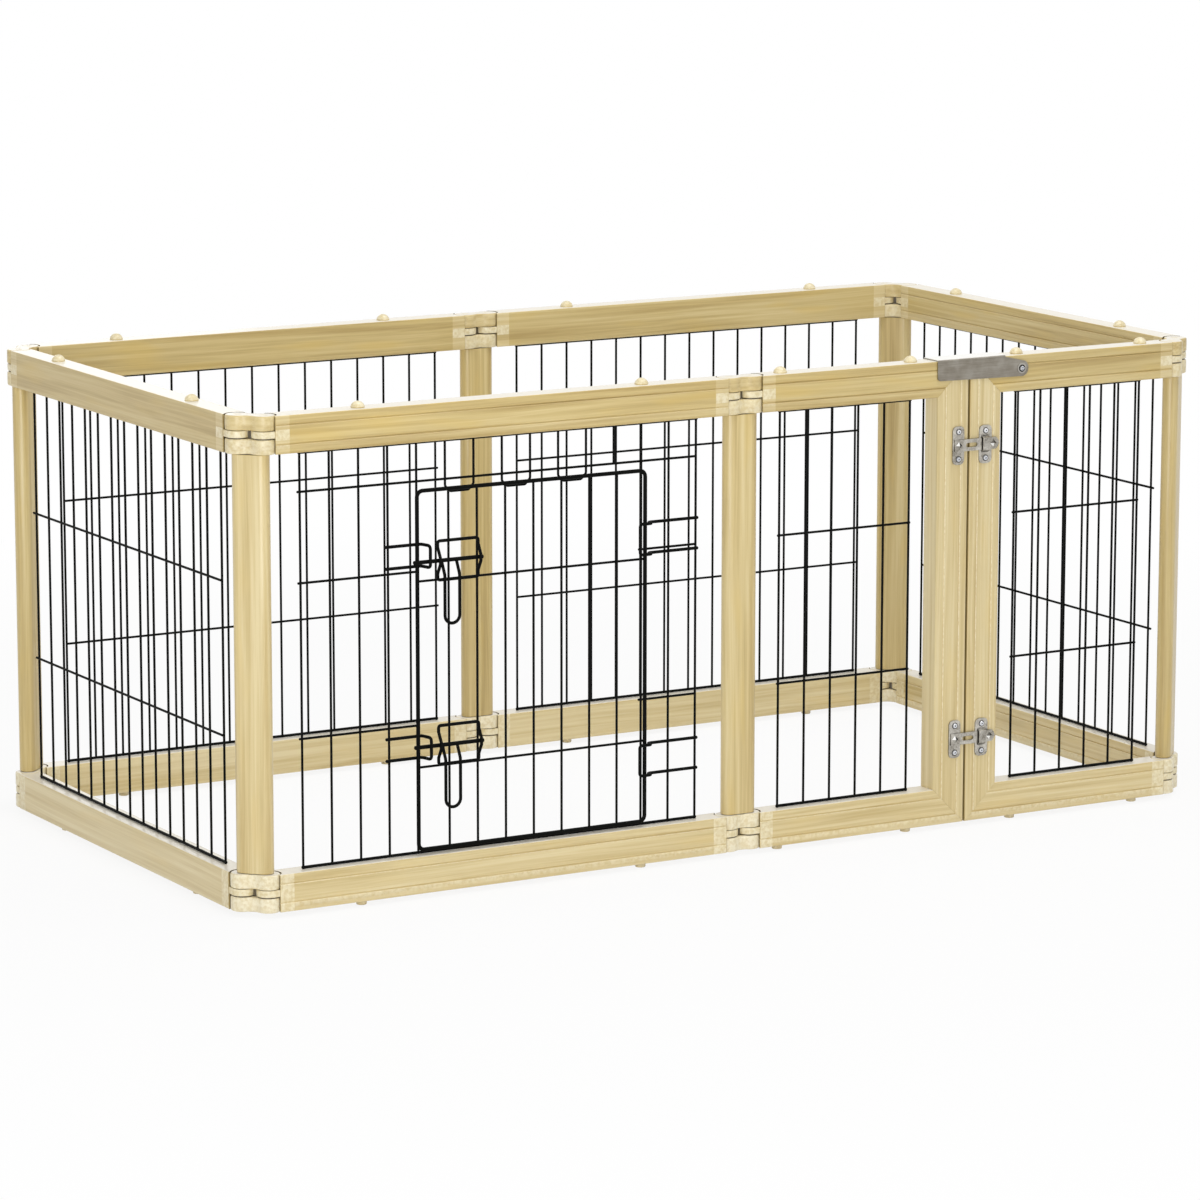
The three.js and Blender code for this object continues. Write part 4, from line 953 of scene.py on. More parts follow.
# %% [markdown]
# ## Links and posts
# Each post stands between an upper and a lower link. A link is two figure-8 plates on two pivot
# pins, and the tongues of the two rails turn on the pins between the plates. The figure 8 is a
# wide arc round each pin with a hollow waist between, and its edges are well rounded. A post is a
# flat column with round sides and eased ends.

# %% Links and posts
LOBE_RADIUS = 15
WAIST = 10.2
PLATE_HEIGHT = 17.9
PIN_RADIUS = 4
PLATE_EDGE = 2.2
SPACER_GAP = 0.5
SPACER_DEPTH = 4
DISC_RADIUS = 13.4
DISC_GAP = 0.15
PIN_TONE = 0.2
# the pin heads are painted most of the way to the top face's painted sheen
PIN_HEAD_TONE = 1.6
# radius and height over the plate of a pin's head, from its foot to its middle
PIN_HEAD = ((0, -0.4), (4.6, -0.4), (4.6, 0.1), (4.1, 0.35), (0, 0.35))
SPACER_EDGE = 0.1
# tones of each link's lower and upper plate: the bottom links are painted pale, a little into the
# painted sheen, for the brighter light near the floor
LINK_LIGHT_TONES = {"top": (0.7, 0.2), "bottom": (1.2, 1.1)}
POST_WIDTH = 46
POST_DEPTH = 21
POST_EDGE = 1.4
POST_BOARD = (0, 0, 20)
# painted light for each post: the left posts, which face the lamps, are painted paler, and those to
# the right and at the back darker
POST_LIGHT_TONES = {
    "front_left": 0.25, "front_mid": 0.15, "front_right": -0.08,
    "back_left": -0.03, "back_mid": -0.04, "back_right": -0.04,
}


def figure_eight():
    """Two lobe arcs joined by two waist arcs that touch them. With h half the pivot spacing, the
    waist arc's radius is (h * h + w * w - r * r) / (2 * (r - w)) for waist w and lobe r."""
    half = PIVOT_SPACING / 2
    waist_radius = (half ** 2 + WAIST ** 2 - LOBE_RADIUS ** 2) / (2 * (LOBE_RADIUS - WAIST))
    centre = WAIST + waist_radius
    lean = math.atan2(centre, half)
    lobe = arc(half, 0, LOBE_RADIUS, lean - np.pi, np.pi - lean, 25)
    waist = arc(0, centre, waist_radius, -lean, lean - np.pi, 9)[1:-1]
    one_side = np.concatenate([lobe, waist])
    return np.concatenate([one_side, -one_side])


def spacer(low, high):
    """A neck between the tongues: two hollow sides that stand off the tongues' round ends. It is
    painted with the dark shade of a joint.
    """
    half = PIVOT_SPACING / 2
    radius = TONGUE_RADIUS + SPACER_GAP
    lean = math.asin(SPACER_DEPTH / radius)
    side = arc(half, 0, radius, np.pi + lean, np.pi - lean, 9)
    return plate(np.concatenate([side, -side]), low, high, SPACER_EDGE, 1).toned(JOINT_SHADE_TONE)


def link(base, tones):
    """Two plates, and between them the neck, two pins and the discs that keep the tongues clear of
    the plates; the neck and the discs are painted with the dark shade of a joint. The pins' heads
    show faintly on top."""
    outline = figure_eight()
    top = base + RAIL_HEIGHT
    low, high = base + PLATE_HEIGHT, top - PLATE_HEIGHT
    low_plate = plate(outline, base, low, PLATE_EDGE, 4).toned(tones[0])
    high_plate = plate(outline, high, top, PLATE_EDGE, 4).toned(tones[1])
    # painted sheen: the link's top face is painted nearly white
    high_plate.tone[high_plate.points[:, 2] > top - TOUCH / 2] = PAINTED_SHEEN_TONE
    neck = spacer(low - TOUCH, high + TOUCH)
    solids = [from_own_board(s) for s in (low_plate, high_plate, neck)]
    for x in (-PIVOT_SPACING / 2, PIVOT_SPACING / 2):
        for radius, start, end, sides, tone in (
            (PIN_RADIUS, low - STUD_SINK, high + STUD_SINK, 16, PIN_TONE),
            # the discs are painted with a joint's dark shade, so the gaps beside the tongues read
            # dark
            (DISC_RADIUS, low - TOUCH, base + TONGUE_LOW - DISC_GAP, 24, JOINT_SHADE_TONE),
            (DISC_RADIUS, base + TONGUE_HIGH + DISC_GAP, high + TOUCH, 24, JOINT_SHADE_TONE),
        ):
            disc = [(0, start), (radius, start), (radius, end), (0, end)]
            solids.append(turned(disc, (x, 0, 0), sides=sides).toned(tone))
        head = turned([(radius, top + rise) for radius, rise in PIN_HEAD], (x, 0, 0))
        solids.append(head.toned(PIN_HEAD_TONE))
    return solids


def post_outline():
    """A flat bar with half-round sides."""
    radius = POST_DEPTH / 2
    straight = POST_WIDTH / 2 - radius
    right_side = arc(straight, 0, radius, -np.pi / 2, np.pi / 2, 17)
    return np.concatenate([right_side, -right_side])


CORNER_X = 663.5135
CORNER_BACK_Y = 333.8137
CORNER_FRONT_Y = -325.0137
post_places = {
    "back_mid": (0, BACK_Y, 0), "back_left": (-CORNER_X, CORNER_BACK_Y, 45),
    "front_left": (-CORNER_X, CORNER_FRONT_Y, -45), "front_mid": (0, FRONT_Y, 0),
    "back_right": (CORNER_X, CORNER_BACK_Y, -45), "front_right": (CORNER_X, CORNER_FRONT_Y, 45),
}
for name, place in post_places.items():
    body = f"{name}_post"
    low, high = RAIL_HEIGHT + TOUCH, FRAME_HEIGHT - RAIL_HEIGHT - TOUCH
    column = plate(post_outline(), low, high, POST_EDGE)
    z = column.points[:, 2]
    # the column's ends are painted with a joint's dark shade, for the gap under each link
    ends = (z < low + TOUCH) | (z > high - TOUCH)
    column = column.toned(np.where(ends, JOINT_SHADE_TONE, POST_LIGHT_TONES[name]))
    column = from_own_board(column.with_grain([2, 0, 1], POST_BOARD))
    add_piece(f"{name}_column", stand([column], place), PINE, body, [f"{name}_post"])
    for level, base in (("top", top_lift), ("bottom", 0.0)):
        solids = stand(link(base, LINK_LIGHT_TONES[level]), place)
        add_piece(f"{name}_{level}_link_plates", solids, LINK_PINE, body, [f"{name}_{level}_link"])
print("posts", len(post_places))

# %% [markdown]
# ## Wire panels
# A panel's wires are 3 mm rods: fifteen uprights welded between two thicker bars that hide against
# the rails, and two thin bars across them. The bars lie on the inner side of the uprights and
# stand out a little past the last one, as welded mesh does. A tube along a straight path is all
# that each wire needs.

# %% Wire panels
WIRE = 3
THICK_BAR = 3.6
LOOP_WIRE = 4
WELD = 0.3
UPPER_BAR = 392
LOWER_BAR = 204
WIRE_TAIL = 2
PANEL_TAILS = (WIRE_TAIL, WIRE_TAIL)
GATE_TAILS = (0.5, 3.5)
STUB = 8
WIRE_SHORT = 2
BAR_BACK = WIRE - WELD


def crossing(left, right, z, y=BAR_BACK, thickness=WIRE):
    """A level bar from one x to another."""
    return wire([(left, y, z), (right, y, z)], thickness)


def edge_bars(places):
    """The thick bars under the top rail and over the bottom rail."""
    inset = TOUCH + THICK_BAR / 2
    return [crossing(places[0] - WIRE / 2, places[-1] + WIRE / 2, z, 0, THICK_BAR)
            for z in (MESH_LOW + inset, MESH_HIGH - inset)]


def upright(x, low=MESH_LOW + WIRE_SHORT, high=MESH_HIGH - WIRE_SHORT, y=0):
    """An upright wire, which ends a little short of the rails unless it is told to go on."""
    return wire([(x, y, low), (x, y, high)], WIRE)


def end_wires(places):
    """The first and last wires, which reach into the rails."""
    return [upright(x, MESH_LOW - STUB, MESH_HIGH + STUB) for x in (places[0], places[-1])]


def mesh_panel(places, tails):
    """Uprights, edge bars and two cross bars."""
    inner = [upright(x) for x in places[1:-1]]
    bars = [crossing(places[0] - tails[0], places[-1] + tails[1], z)
            for z in (LOWER_BAR, UPPER_BAR)]
    return inner + end_wires(places) + bars + edge_bars(places)


for name, place in (*panel_places.items(), *gate_places.items()):
    if name == "front_left":
        continue
    places, tails, body = wires, PANEL_TAILS, panel_bodies.get(name, name)
    if name in gate_wires:
        places, tails = gate_wires[name], GATE_TAILS
    solids = stand(mesh_panel(places, tails), place)
    add_piece(f"{name}_wires", solids, BLACK_WIRE, body, [f"{name}_mesh"])
print(made[-1])

# %% [markdown]
# ## Doorway panel
# In the front left panel, the wires over the doorway end at a head bar or pair up in hanging Us
# that keep the door from swinging in. Two loops beside the doorway take the bolts, and two more
# at the other side go round the door's own bar as hinges. Each is bent from one rod, so a path
# with round bends describes it.

# %% Doorway panel
DOOR_LEFT_WIRE = 4
DOOR_RIGHT_WIRE = 12
HEAD_BAR = 501.5
HOOK_REACH = 13.5
DOOR_SETOUT = 8
DOOR_ROD = 5
DOOR_HINGE = 513.1
DOOR_LEFT = 198.2
KEEPER_RISE = 13.25
KEEPER_TAIL = 5.5
KEEPER_INSIDE = 4
KEEPER_SLANT = 4
KEEPER_OUT = 20
KEEPER_BEND = 4
KEEPER_LEVELS = (413, 179)
HINGE_RISE = 19
HINGE_START = 1
HINGE_CLOSED = 9.5
HINGE_BEND = 3.2
HINGE_LEVELS = (407, 130.5)
HOOK_CORNER = 7
HOOK_BEND = 4
HOOK_WIRES = (5, 7, 9)
CUT_WIRE = 11
ARM_SETOUT = (WIRE + LOOP_WIRE) / 2 - WELD


def keeper_loop(z):
    """Two arms along the wires, bent forward to a closed front that the bolt passes behind."""
    start = wires[DOOR_LEFT_WIRE - 1] - KEEPER_TAIL
    bend = wires[DOOR_LEFT_WIRE] + KEEPER_INSIDE
    slant = bend + KEEPER_SLANT
    high, low = z + KEEPER_RISE, z - KEEPER_RISE
    path = [(start, -ARM_SETOUT, high), (bend, -ARM_SETOUT, high), (slant, -KEEPER_OUT, high),
            (slant, -KEEPER_OUT, low), (bend, -ARM_SETOUT, low), (start, -ARM_SETOUT, low)]
    return wire(bent(path, KEEPER_BEND), LOOP_WIRE)


def hinge_loop(z):
    """Two arms from the last wire, stepped forward round the door's bar to a closed end."""
    front = DOOR_SETOUT + (DOOR_ROD + LOOP_WIRE) / 2 + TOUCH
    step = DOOR_HINGE + DOOR_ROD + LOOP_WIRE / 2
    closed = DOOR_HINGE - HINGE_CLOSED
    high, low = z + HINGE_RISE, z - HINGE_RISE
    start = wires[-1] + HINGE_START
    path = [(start, -ARM_SETOUT, high), (step, -ARM_SETOUT, high), (step, -front, high),
            (closed, -front, high), (closed, -front, low), (step, -front, low),
            (step, -ARM_SETOUT, low), (start, -ARM_SETOUT, low)]
    return wire(bent(path, HINGE_BEND), LOOP_WIRE)


def hanging_u(left, right):
    """Two cut wires joined below the head bar by a U with slanted corners."""
    high = MESH_HIGH - WIRE_SHORT
    low = HEAD_BAR - WIRE / 2 - HOOK_REACH
    path = [(left, 0, high), (left, 0, low + HOOK_CORNER), (left + HOOK_CORNER, 0, low),
            (right - HOOK_CORNER, 0, low), (right, 0, low + HOOK_CORNER), (right, 0, high)]
    return wire(bent(path, HOOK_BEND), WIRE)


def doorway_panel():
    """The mesh with its doorway: whole wires beside it, hanging Us over it, and the four loops."""
    whole = (*range(1, DOOR_LEFT_WIRE + 1), *range(DOOR_RIGHT_WIRE, PITCHES))
    solids = [upright(wires[i]) for i in whole]
    solids += end_wires(wires)
    solids += [upright(wires[CUT_WIRE], HEAD_BAR)]
    solids += [hanging_u(wires[i], wires[i + 1]) for i in HOOK_WIRES]
    solids += edge_bars(wires)
    left, right = wires[0] - WIRE_TAIL, wires[-1] + WIRE_TAIL
    for a, b in (
        (left, wires[DOOR_LEFT_WIRE] + WIRE_TAIL), (wires[DOOR_RIGHT_WIRE] - WIRE_TAIL, right),
    ):
        solids += [crossing(a, b, z) for z in (LOWER_BAR, UPPER_BAR)]
    solids += [crossing(left, right, HEAD_BAR)]
    solids += [keeper_loop(z) for z in KEEPER_LEVELS]
    solids += [hinge_loop(z) for z in HINGE_LEVELS]
    return solids


front_place = panel_places["front_left"]
add_piece("front_left_wires", stand(doorway_panel(), front_place), BLACK_WIRE,
          "front_left_panel", ["front_left_mesh"])
print(made[-1])

# %% [markdown]
# ## Wire door
# The door is a 5 mm rod bent to a rectangle with round corners, filled with thin wires. Each of
# its two bolts runs in a guide, a wire loop whose sides bow forward into noses. The guide's path
# is a straight side with a bump, and the frame's path is a closed rectangle with quarter-circle
# corners.

# %% Wire door
DOOR_LOW = 53
DOOR_HIGH = 491.5
DOOR_CORNER = 7.5
DOOR_BARS = (154, 381.5)
BOLT_LEVELS = {"upper": 406, "lower": 180.5}
BOLT_ROD = 5
GUIDE_LEFT = 26
GUIDE_WIDTH = 55
GUIDE_RISE = 23.5
GUIDE_DROP = 24
NOSE_FOOT = 16
NOSE_FLAT = 4
BOLT_TAIL = 7
BOLT_LENGTH = 93
HANDLE_LEFT = 30
HANDLE_WIDTH = 20
HANDLE_DROP = 75.7
HANDLE_OUT = 8.5
HANDLE_NECK = 17
HANDLE_BEND = 9.9
GUIDE_BEND = 3
BOLT_SETOUT = DOOR_SETOUT + (DOOR_ROD + BOLT_ROD) / 2 + TOUCH


def rounded_rectangle(left, low, right, high, radius, steps=7):
    """Corners as quarter circles, anticlockwise from the lower right."""
    centres = [(right - radius, low + radius, -90), (right - radius, high - radius, 0),
               (left + radius, high - radius, 90), (left + radius, low + radius, 180)]
    return np.concatenate([
        arc(x, z, radius, math.radians(a), math.radians(a + 90), steps) for x, z, a in centres
    ])


def guide_wires(z):
    """One closed rod: up the left side over its nose, across, and down the right side."""
    left, right = DOOR_LEFT + GUIDE_LEFT, DOOR_LEFT + GUIDE_LEFT + GUIDE_WIDTH
    back = DOOR_SETOUT + ARM_SETOUT
    nose = BOLT_SETOUT + (BOLT_ROD + LOOP_WIRE) / 2 + TOUCH
    high, low = z + GUIDE_RISE, z - GUIDE_DROP

    def side(x):
        """One side of the guide, from its low end over its nose."""
        return [(x, -back, z - NOSE_FOOT), (x, -nose, z - NOSE_FLAT),
                (x, -nose, z + NOSE_FLAT), (x, -back, z + NOSE_FOOT)]

    seam = ((left + right) / 2, -back, low)
    path = [seam, (left, -back, low), *side(left), (left, -back, high),
            (right, -back, high), *side(right)[::-1], (right, -back, low), seam]
    return wire(bent(path, GUIDE_BEND), LOOP_WIRE)


def door_wires():
    """The closed frame, its uprights and cross bars, and the two guides."""
    outline = rounded_rectangle(DOOR_LEFT, DOOR_LOW, DOOR_HINGE, DOOR_HIGH, DOOR_CORNER)
    frame_path = np.insert(outline, 1, -DOOR_SETOUT, axis=1)
    solids = [wire(frame_path, DOOR_ROD, closed=True, sides=14)]
    solids += [upright(x, DOOR_LOW, DOOR_HIGH, -DOOR_SETOUT)
               for x in wires[DOOR_LEFT_WIRE + 1:DOOR_RIGHT_WIRE]]
    solids += [crossing(DOOR_LEFT, DOOR_HINGE, z, WIRE - WELD - DOOR_SETOUT) for z in DOOR_BARS]
    return solids + [guide_wires(z) for z in BOLT_LEVELS.values()]


def slide_bolt(z):
    """A straight rod, and a handle bent from thinner rod that hangs from it in a long U."""
    y, out = -BOLT_SETOUT, -BOLT_SETOUT - HANDLE_OUT
    start = DOOR_LEFT - BOLT_TAIL
    left = DOOR_LEFT + HANDLE_LEFT
    right = left + HANDLE_WIDTH
    neck, low = z - HANDLE_NECK, z - HANDLE_DROP
    handle = [(left, y, z), (left, out, neck), (left, out, low),
              (right, out, low), (right, out, neck), (right, y, z)]
    rod = wire([(start, y, z), (start + BOLT_LENGTH, y, z)], BOLT_ROD, 14)
    return [rod, wire(bent(handle, HANDLE_BEND, 10), LOOP_WIRE)]


add_piece("wire_door_frame", stand(door_wires(), front_place), BLACK_WIRE,
          "wire_door", ["wire_door"])
for name, z in BOLT_LEVELS.items():
    add_piece(f"{name}_bolt_rod", stand(slide_bolt(z), front_place), BLACK_WIRE,
              f"{name}_bolt", [f"{name}_slide_bolt"])
print(made[-1])

# %% [markdown]
# ## Clasp
# The clasp is a strip of steel sheet bent over both gate rails. It is left with a leaf on each
# side, and turns on a screw at its round end. The leaves are plates with their own outline, and
# the bend over the top is a U carried along the rails.

# %% Clasp
SHEET = 1.4
CLASP_LEFT = MEETING_X - 49.5
CLASP_WEB = MEETING_X + 52.5
CLASP_PIVOT = MEETING_X + 77.5
CLASP_END = 10.3
CLASP_CORNER = 4.5
FRAME_TOP = FLOOR_TO_RAIL + FRAME_HEIGHT
PIVOT_Z = FRAME_TOP - 16.8
CLASP_LOW = FRAME_TOP - 25
CLASP_LIFT = 0.4
CLASP_TOP = FRAME_TOP + CLASP_LIFT + SHEET
LEAF_CLEARANCE = 0.6
LEAF_GAP = RAIL_THICKNESS / 2 + LEAF_CLEARANCE
BEND = 3
BURR = 0.35
# painted shade on the rims of the steel plates, for their contact shadow
PLATE_RIM_SHADE = 0.85
LEAF_SLOPE = 1.5
# angles at which the round end starts and stops, past straight down and short of straight up
END_ANGLES = (0.1, 0.45)
# radii and tones of the washer, from the screw outwards: a painted highlight at its face's edge
# and painted shade at its foot
WASHER_RADII = (4.6, 6.6, 6.8)
WASHER_LIGHT_TONES = (0.0, -0.25, 0.6)
WASHER = 0.5
# radius, height and ring of the screw's head
CLASP_SCREW = (3.0, 2.0, 4.6)
NUT = ((0, 0), (5, 0), (5, 2), (0, 2.3))
SHANK_RADIUS = 2.5
SHANK_SINK = 0.2
# a pan head's profile as shares of its radius and height, from its ring's edge to its middle
PAN_HEAD = (
    (1.12, 0.05), (1, 0.1), (1, 0.45), (0.88, 0.8), (0.62, 1), (0.4, 1), (0.28, 0.6),
    (0.1, 0.5), (0, 0.5),
)
PAN_RING = 0.15
# painted shade in a screw head's recess and round its ring, by shares of its radius
PAN_SHADE_RADII = (0.1, 0.28, 0.4, 1.0, 1.12)
PAN_SHADE_TONES = (0.35, 0.9, 0, 0.1, 1)


def facing(solid, y):
    """A plate drawn in x and y stood up to face the front: its y becomes height. Its rim is
    painted with shade, clean at the front edge and darkest where it meets what it lies on."""
    x, z, t = solid.points.T
    rim = np.clip((t.max() - t - BURR) / BURR, 0, 1)
    return Solid(np.stack([x, y - t, z], -1), solid.faces, None, PLATE_RIM_SHADE * rim)


def clasp_leaf():
    """Outline of a leaf: rounded lower left corner, straight edges, a round end at the screw."""
    r = CLASP_CORNER
    corner = arc(CLASP_LEFT + r, CLASP_LOW + r, r, np.pi, 1.5 * np.pi, 6)
    low, high = END_ANGLES[0] - np.pi / 2, np.pi / 2 - END_ANGLES[1]
    end = arc(CLASP_PIVOT, PIVOT_Z, CLASP_END, low, high, 17)
    top = CLASP_TOP - BEND
    return np.concatenate([corner, end, [[CLASP_WEB + LEAF_SLOPE, top], [CLASP_LEFT, top]]])


def extruded(places, caps):
    """A section carried from its first place to its last, with its end caps given as faces."""
    count = len(places[0])
    sides = grid_faces(2, count, closed=True).tolist()
    ends = caps + [[k + count for k in face][::-1] for face in caps]
    return Solid(np.concatenate(places), [face[::-1] for face in sides + ends])


def clasp_bend():
    """Section of the bend in y and z, outer side then inner side, carried from left to right."""
    outer = LEAF_GAP + SHEET
    angle = np.linspace(0, np.pi / 2, 6)

    def arch(half, top, radius):
        """Two round corners, from the right foot over the top to the left foot."""
        turn = np.stack([np.cos(angle), np.sin(angle)], -1)
        right_arc = np.array([half - radius, top - radius]) + radius * turn
        return np.concatenate([right_arc, right_arc[::-1] * [-1, 1]])

    inner = arch(LEAF_GAP, CLASP_TOP - SHEET, BEND - SHEET)
    skin = np.concatenate([arch(outer, CLASP_TOP, BEND), inner[::-1]])
    ends = [np.insert(skin + [FRONT_Y, 0], 0, x, axis=1) for x in (CLASP_LEFT, CLASP_WEB)]
    # painted highlight along the top of the bend
    painted_highlight = np.where(skin[:, 1] > CLASP_TOP - BURR, -1.0, 0.0)
    bend = extruded(ends, [list(range(len(skin)))])
    return bend.toned(np.tile(painted_highlight, 2))


def toned_rings(solid, x, z, radii, tones):
    """The same solid whose tone depends on the distance from an axis that faces the front."""
    reach = np.hypot(solid.points[:, 0] - x, solid.points[:, 2] - z)
    return solid.toned(np.interp(reach, radii, tones))


def pan_head(x, z, y, radius, height, ring):
    """A domed screw head with a round recess, in a countersunk ring, facing the front. The
    recess and the ring are painted darker as shade."""
    foot_ring = [(0, 0), (ring, 0), (ring, PAN_RING * height)]
    dome = [(a * radius, b * height) for a, b in PAN_HEAD]
    head = turned(foot_ring + dome, (x, y, z), axis="y", sides=28)
    return toned_rings(head, x, z, np.multiply(PAN_SHADE_RADII, radius), PAN_SHADE_TONES)


def disc_profile(radius, height, face_radius=None):
    """A short cylinder's profile, whose face may be a little smaller than its foot."""
    return [(0, 0), (radius, 0), (face_radius or radius, height), (0, height)]


clasp_face = FRONT_Y - LEAF_GAP - SHEET
washer_profile = disc_profile(WASHER_RADII[2], WASHER, WASHER_RADII[1])
washer = turned(washer_profile, (CLASP_PIVOT, clasp_face, PIVOT_Z), "y")
# painted highlight and painted shade in rings round the washer
washer = toned_rings(washer, CLASP_PIVOT, PIVOT_Z, WASHER_RADII, WASHER_LIGHT_TONES)
leaf = plate(clasp_leaf(), 0, SHEET, BURR, 2)
front_leaf = facing(leaf, FRONT_Y - LEAF_GAP)
back_leaf = facing(leaf, FRONT_Y + LEAF_GAP + SHEET).toned(0)
solids = [front_leaf, back_leaf, clasp_bend(), washer]
add_piece("clasp_sheet", solids, CLASP_STEEL, "clasp", ["clasp"])
head = pan_head(CLASP_PIVOT, PIVOT_Z, clasp_face - WASHER, *CLASP_SCREW)
nut_y = FRONT_Y + LEAF_GAP + SHEET + NUT[-1][1]
nut = turned(NUT, (CLASP_PIVOT, nut_y, PIVOT_Z), "y", sides=6)
shank = turned(disc_profile(SHANK_RADIUS, 2 * (nut_y - FRONT_Y)),
               (CLASP_PIVOT, nut_y - SHANK_SINK, PIVOT_Z), "y", sides=16)
add_piece("clasp_pivot_screw", [head, nut, shank], SCREW_STEEL, "right_gate", ["clasp_screw"])
print(made[-1])

# %% [markdown]
# ## Latches
# Each stile carries half of a small slide latch. The base on the left has two screws and carries
# an arm with a long slot; the keeper on the right has two screws and a raised bridge that the arm
# goes under. Pyramid dimples are punched into the arm, at its root and at its pointed tip. They
# are pressed sheet, so thin plates with round edges give them their look.

# %% Latches
LATCH_SHEET = 1.5
STILE_FACE = FRONT_Y - RAIL_THICKNESS / 2 - TOUCH
LATCH_HEIGHT = 49
LATCH_CORNER = 5.5
BASE_MIDDLE = MEETING_X - 17
BASE_WIDTH = 17.5
KEEPER_MIDDLE = MEETING_X + 23.8
KEEPER_WIDTH = 19
KEEPER_DROP = 1
SCREW_RISE = 17.5
# radius, height and ring of a screw's head
LATCH_SCREW = (3.1, 1.7, 4.1)
PLATE_BURR = 0.4
ARM_HEIGHT = 15
ARM_LEFT = MEETING_X - 23.7
ARM_RIGHT = MEETING_X + 43.1
ARM_POINT = 4.5
SLOT_LEFT = MEETING_X - 7
SLOT_RIGHT = MEETING_X + 10.4
SLOT_HEIGHT = 5.6
BRIDGE_LEFT = MEETING_X + 17.8
BRIDGE_WIDTH = 10
BRIDGE_HEIGHT = 22.5
BRIDGE_FOOT = 3.5
BRIDGE_LIFT = 4.6
DIMPLE_RADIUS = 4.8
DIMPLE_HEIGHT = 2.4
DIMPLE_LEFT = 6.3
DIMPLE_RIGHT = 8.5
# tones of a dimple's facets: upper right, upper left, lower left, lower right; over zero they are
# painted shade, under zero a painted highlight
DIMPLE_LIGHT_TONES = ((0.95, -1.0, 0.1, 0.8), (0.9, 0.6, -1.0, -0.2))
# painted shade on the arm's back face
ARM_BACK_SHADE = 0.9
# the arm's point, as shares of its length back from the tip and of half the arm's height
ARM_POINT_SHAPE = ((1, -1), (0.3, -0.55), (0, -0.1), (0, 0.1), (0.3, 0.55), (1, 1))
BRIDGE_INSETS = (1.6, 0.8)
# painted shade on the bridge's feet and its inner side
BRIDGE_SHADE_TONES = (0.6, 0.1, 0.1, 0.6, 1, 1, 1, 1)
UPPER_LATCH = FRAME_TOP - 109
LOWER_LATCH = FLOOR_TO_RAIL + 109.5


def latch_plate(middle, width, height):
    """A latch plate: a tall rectangle whose corners are cut to short facets."""
    half = LATCH_HEIGHT / 2
    outline = rounded_rectangle(middle - width / 2, height - half, middle + width / 2,
                                height + half, LATCH_CORNER, 3)
    return facing(plate(outline, 0, LATCH_SHEET, PLATE_BURR, 2), STILE_FACE)


def bridge(middle):
    """A strap pressed over the arm: slanted feet at its top and bottom, flat between. Its inner
    side and its feet are painted darker as shade."""
    y0, y1 = STILE_FACE - LATCH_SHEET, STILE_FACE - LATCH_SHEET - BRIDGE_LIFT
    half = BRIDGE_HEIGHT / 2
    flat = half - BRIDGE_FOOT
    outer = [(-half, y0), (-flat, y1), (flat, y1), (half, y0)]
    foot_in, flat_in = BRIDGE_INSETS
    inner = [(half - foot_in, y0), (flat - flat_in, y1 + LATCH_SHEET),
             (flat_in - flat, y1 + LATCH_SHEET), (foot_in - half, y0)]
    height, y = np.array(outer + inner).T
    ends = [np.stack([np.full(8, x), y, middle + height], -1)
            for x in (BRIDGE_LEFT, BRIDGE_LEFT + BRIDGE_WIDTH)]
    solid = extruded(ends, [[0, 1, 6, 7], [1, 2, 5, 6], [2, 3, 4, 5]])
    return solid.toned(np.tile(BRIDGE_SHADE_TONES, 2))


def dimple(x, z, y, tones):
    """A punched pyramid with four flat facets, each with corners of its own and one tone, so that
    painted shade and a painted highlight lie side by side on it."""
    corners = arc(0, 0, DIMPLE_RADIUS, 0, 1.5 * np.pi, 4)
    after = np.roll(corners, -1, 0)
    tip = np.zeros((4, 2))
    flat = np.stack([corners, after, tip], 1).reshape(-1, 2)
    rise = np.tile([0, 0, DIMPLE_HEIGHT], 4)
    points = np.stack([x + flat[:, 0], y - rise, z + flat[:, 1]], -1)
    return Solid(points, np.arange(12).reshape(4, 3).tolist(), None, np.repeat(tones, 3))


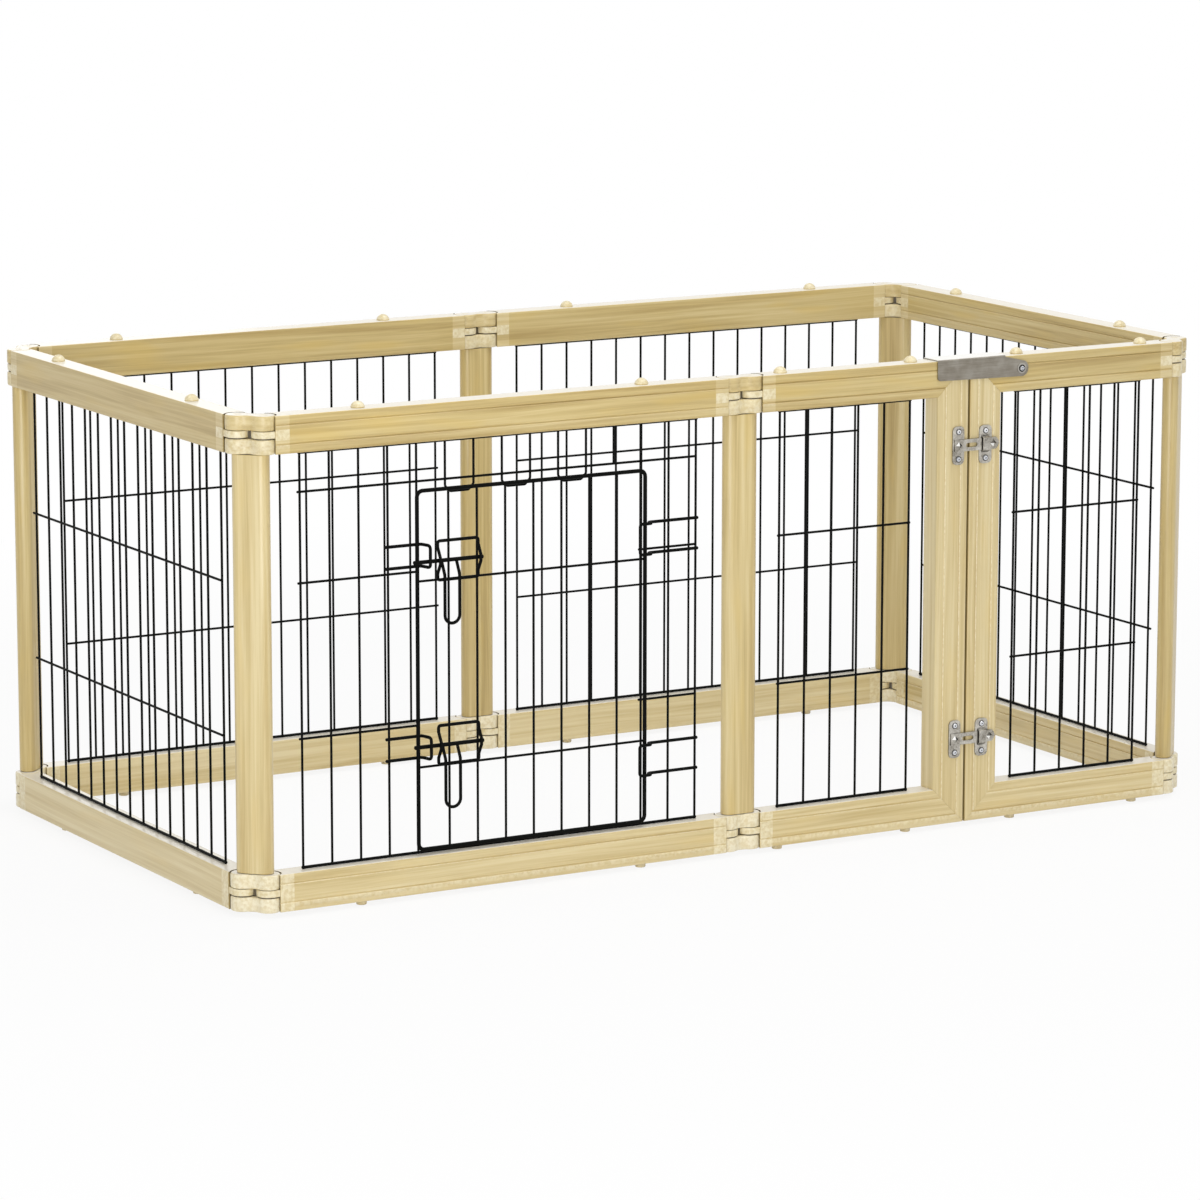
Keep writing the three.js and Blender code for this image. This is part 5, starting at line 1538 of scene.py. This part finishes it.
def arm_solids(middle, back):
    """The arm as two plates that meet round its slot: a square root and a pointed tip."""
    r, s = ARM_HEIGHT / 2, SLOT_HEIGHT / 2
    mid = (SLOT_LEFT + SLOT_RIGHT) / 2
    hole_right = arc(SLOT_RIGHT - s, middle, s, np.pi / 2, -np.pi / 2, 9)
    hole_left = arc(SLOT_LEFT + s, middle, s, 1.5 * np.pi, np.pi / 2, 9)
    point = np.multiply(ARM_POINT_SHAPE, (-ARM_POINT, r)) + [ARM_RIGHT, middle]
    east = np.concatenate([[[mid, middle - r]], point, [[mid, middle + r], [mid, middle + s]],
                           hole_right, [[mid, middle - s]]])
    west = np.concatenate([[[ARM_LEFT, middle - r], [mid, middle - r], [mid, middle - s]],
                           hole_left,
                           [[mid, middle + s], [mid, middle + r], [ARM_LEFT, middle + r]]])
    front = back - LATCH_SHEET
    solids = []
    for outline in (east, west):
        places = [np.insert(outline, 1, y, axis=1) for y in (front, back)]
        half = extruded(places, [list(range(len(outline)))])
        # the arm's back face is painted darker as shade
        solids.append(half.toned(np.repeat([0.0, ARM_BACK_SHADE], len(outline))))
    for x, tones in zip((ARM_LEFT + DIMPLE_LEFT, ARM_RIGHT - DIMPLE_RIGHT), DIMPLE_LIGHT_TONES):
        solids.append(dimple(x, middle, front, tones))
    return solids


plate_front = STILE_FACE - LATCH_SHEET
for name, middle in (("upper", UPPER_LATCH), ("lower", LOWER_LATCH)):
    sides = (("base", BASE_MIDDLE, BASE_WIDTH, middle, "left_gate"),
             ("keeper", KEEPER_MIDDLE, KEEPER_WIDTH, middle - KEEPER_DROP, "right_gate"))
    for side, x, width, height, body in sides:
        solids = [latch_plate(x, width, height)] + ([bridge(middle)] if side == "keeper" else [])
        add_piece(f"{name}_latch_{side}_plate", solids, LATCH_STEEL, body, [f"{name}_latch_{side}"])
    add_piece(f"{name}_latch_slide", arm_solids(middle, plate_front - TOUCH), LATCH_STEEL,
              f"{name}_latch_arm", [f"{name}_latch_arm"])
    for side, x, _, height, body in sides:
        heads = [pan_head(x, height + rise, plate_front, *LATCH_SCREW)
                 for rise in (-SCREW_RISE, SCREW_RISE)]
        add_piece(f"{name}_latch_{side}_screws", heads, SCREW_STEEL, body)
print(made[-1])

# %% Size of the new pieces
print(len(made), "pieces,", sum(count for _, count in made), "faces")
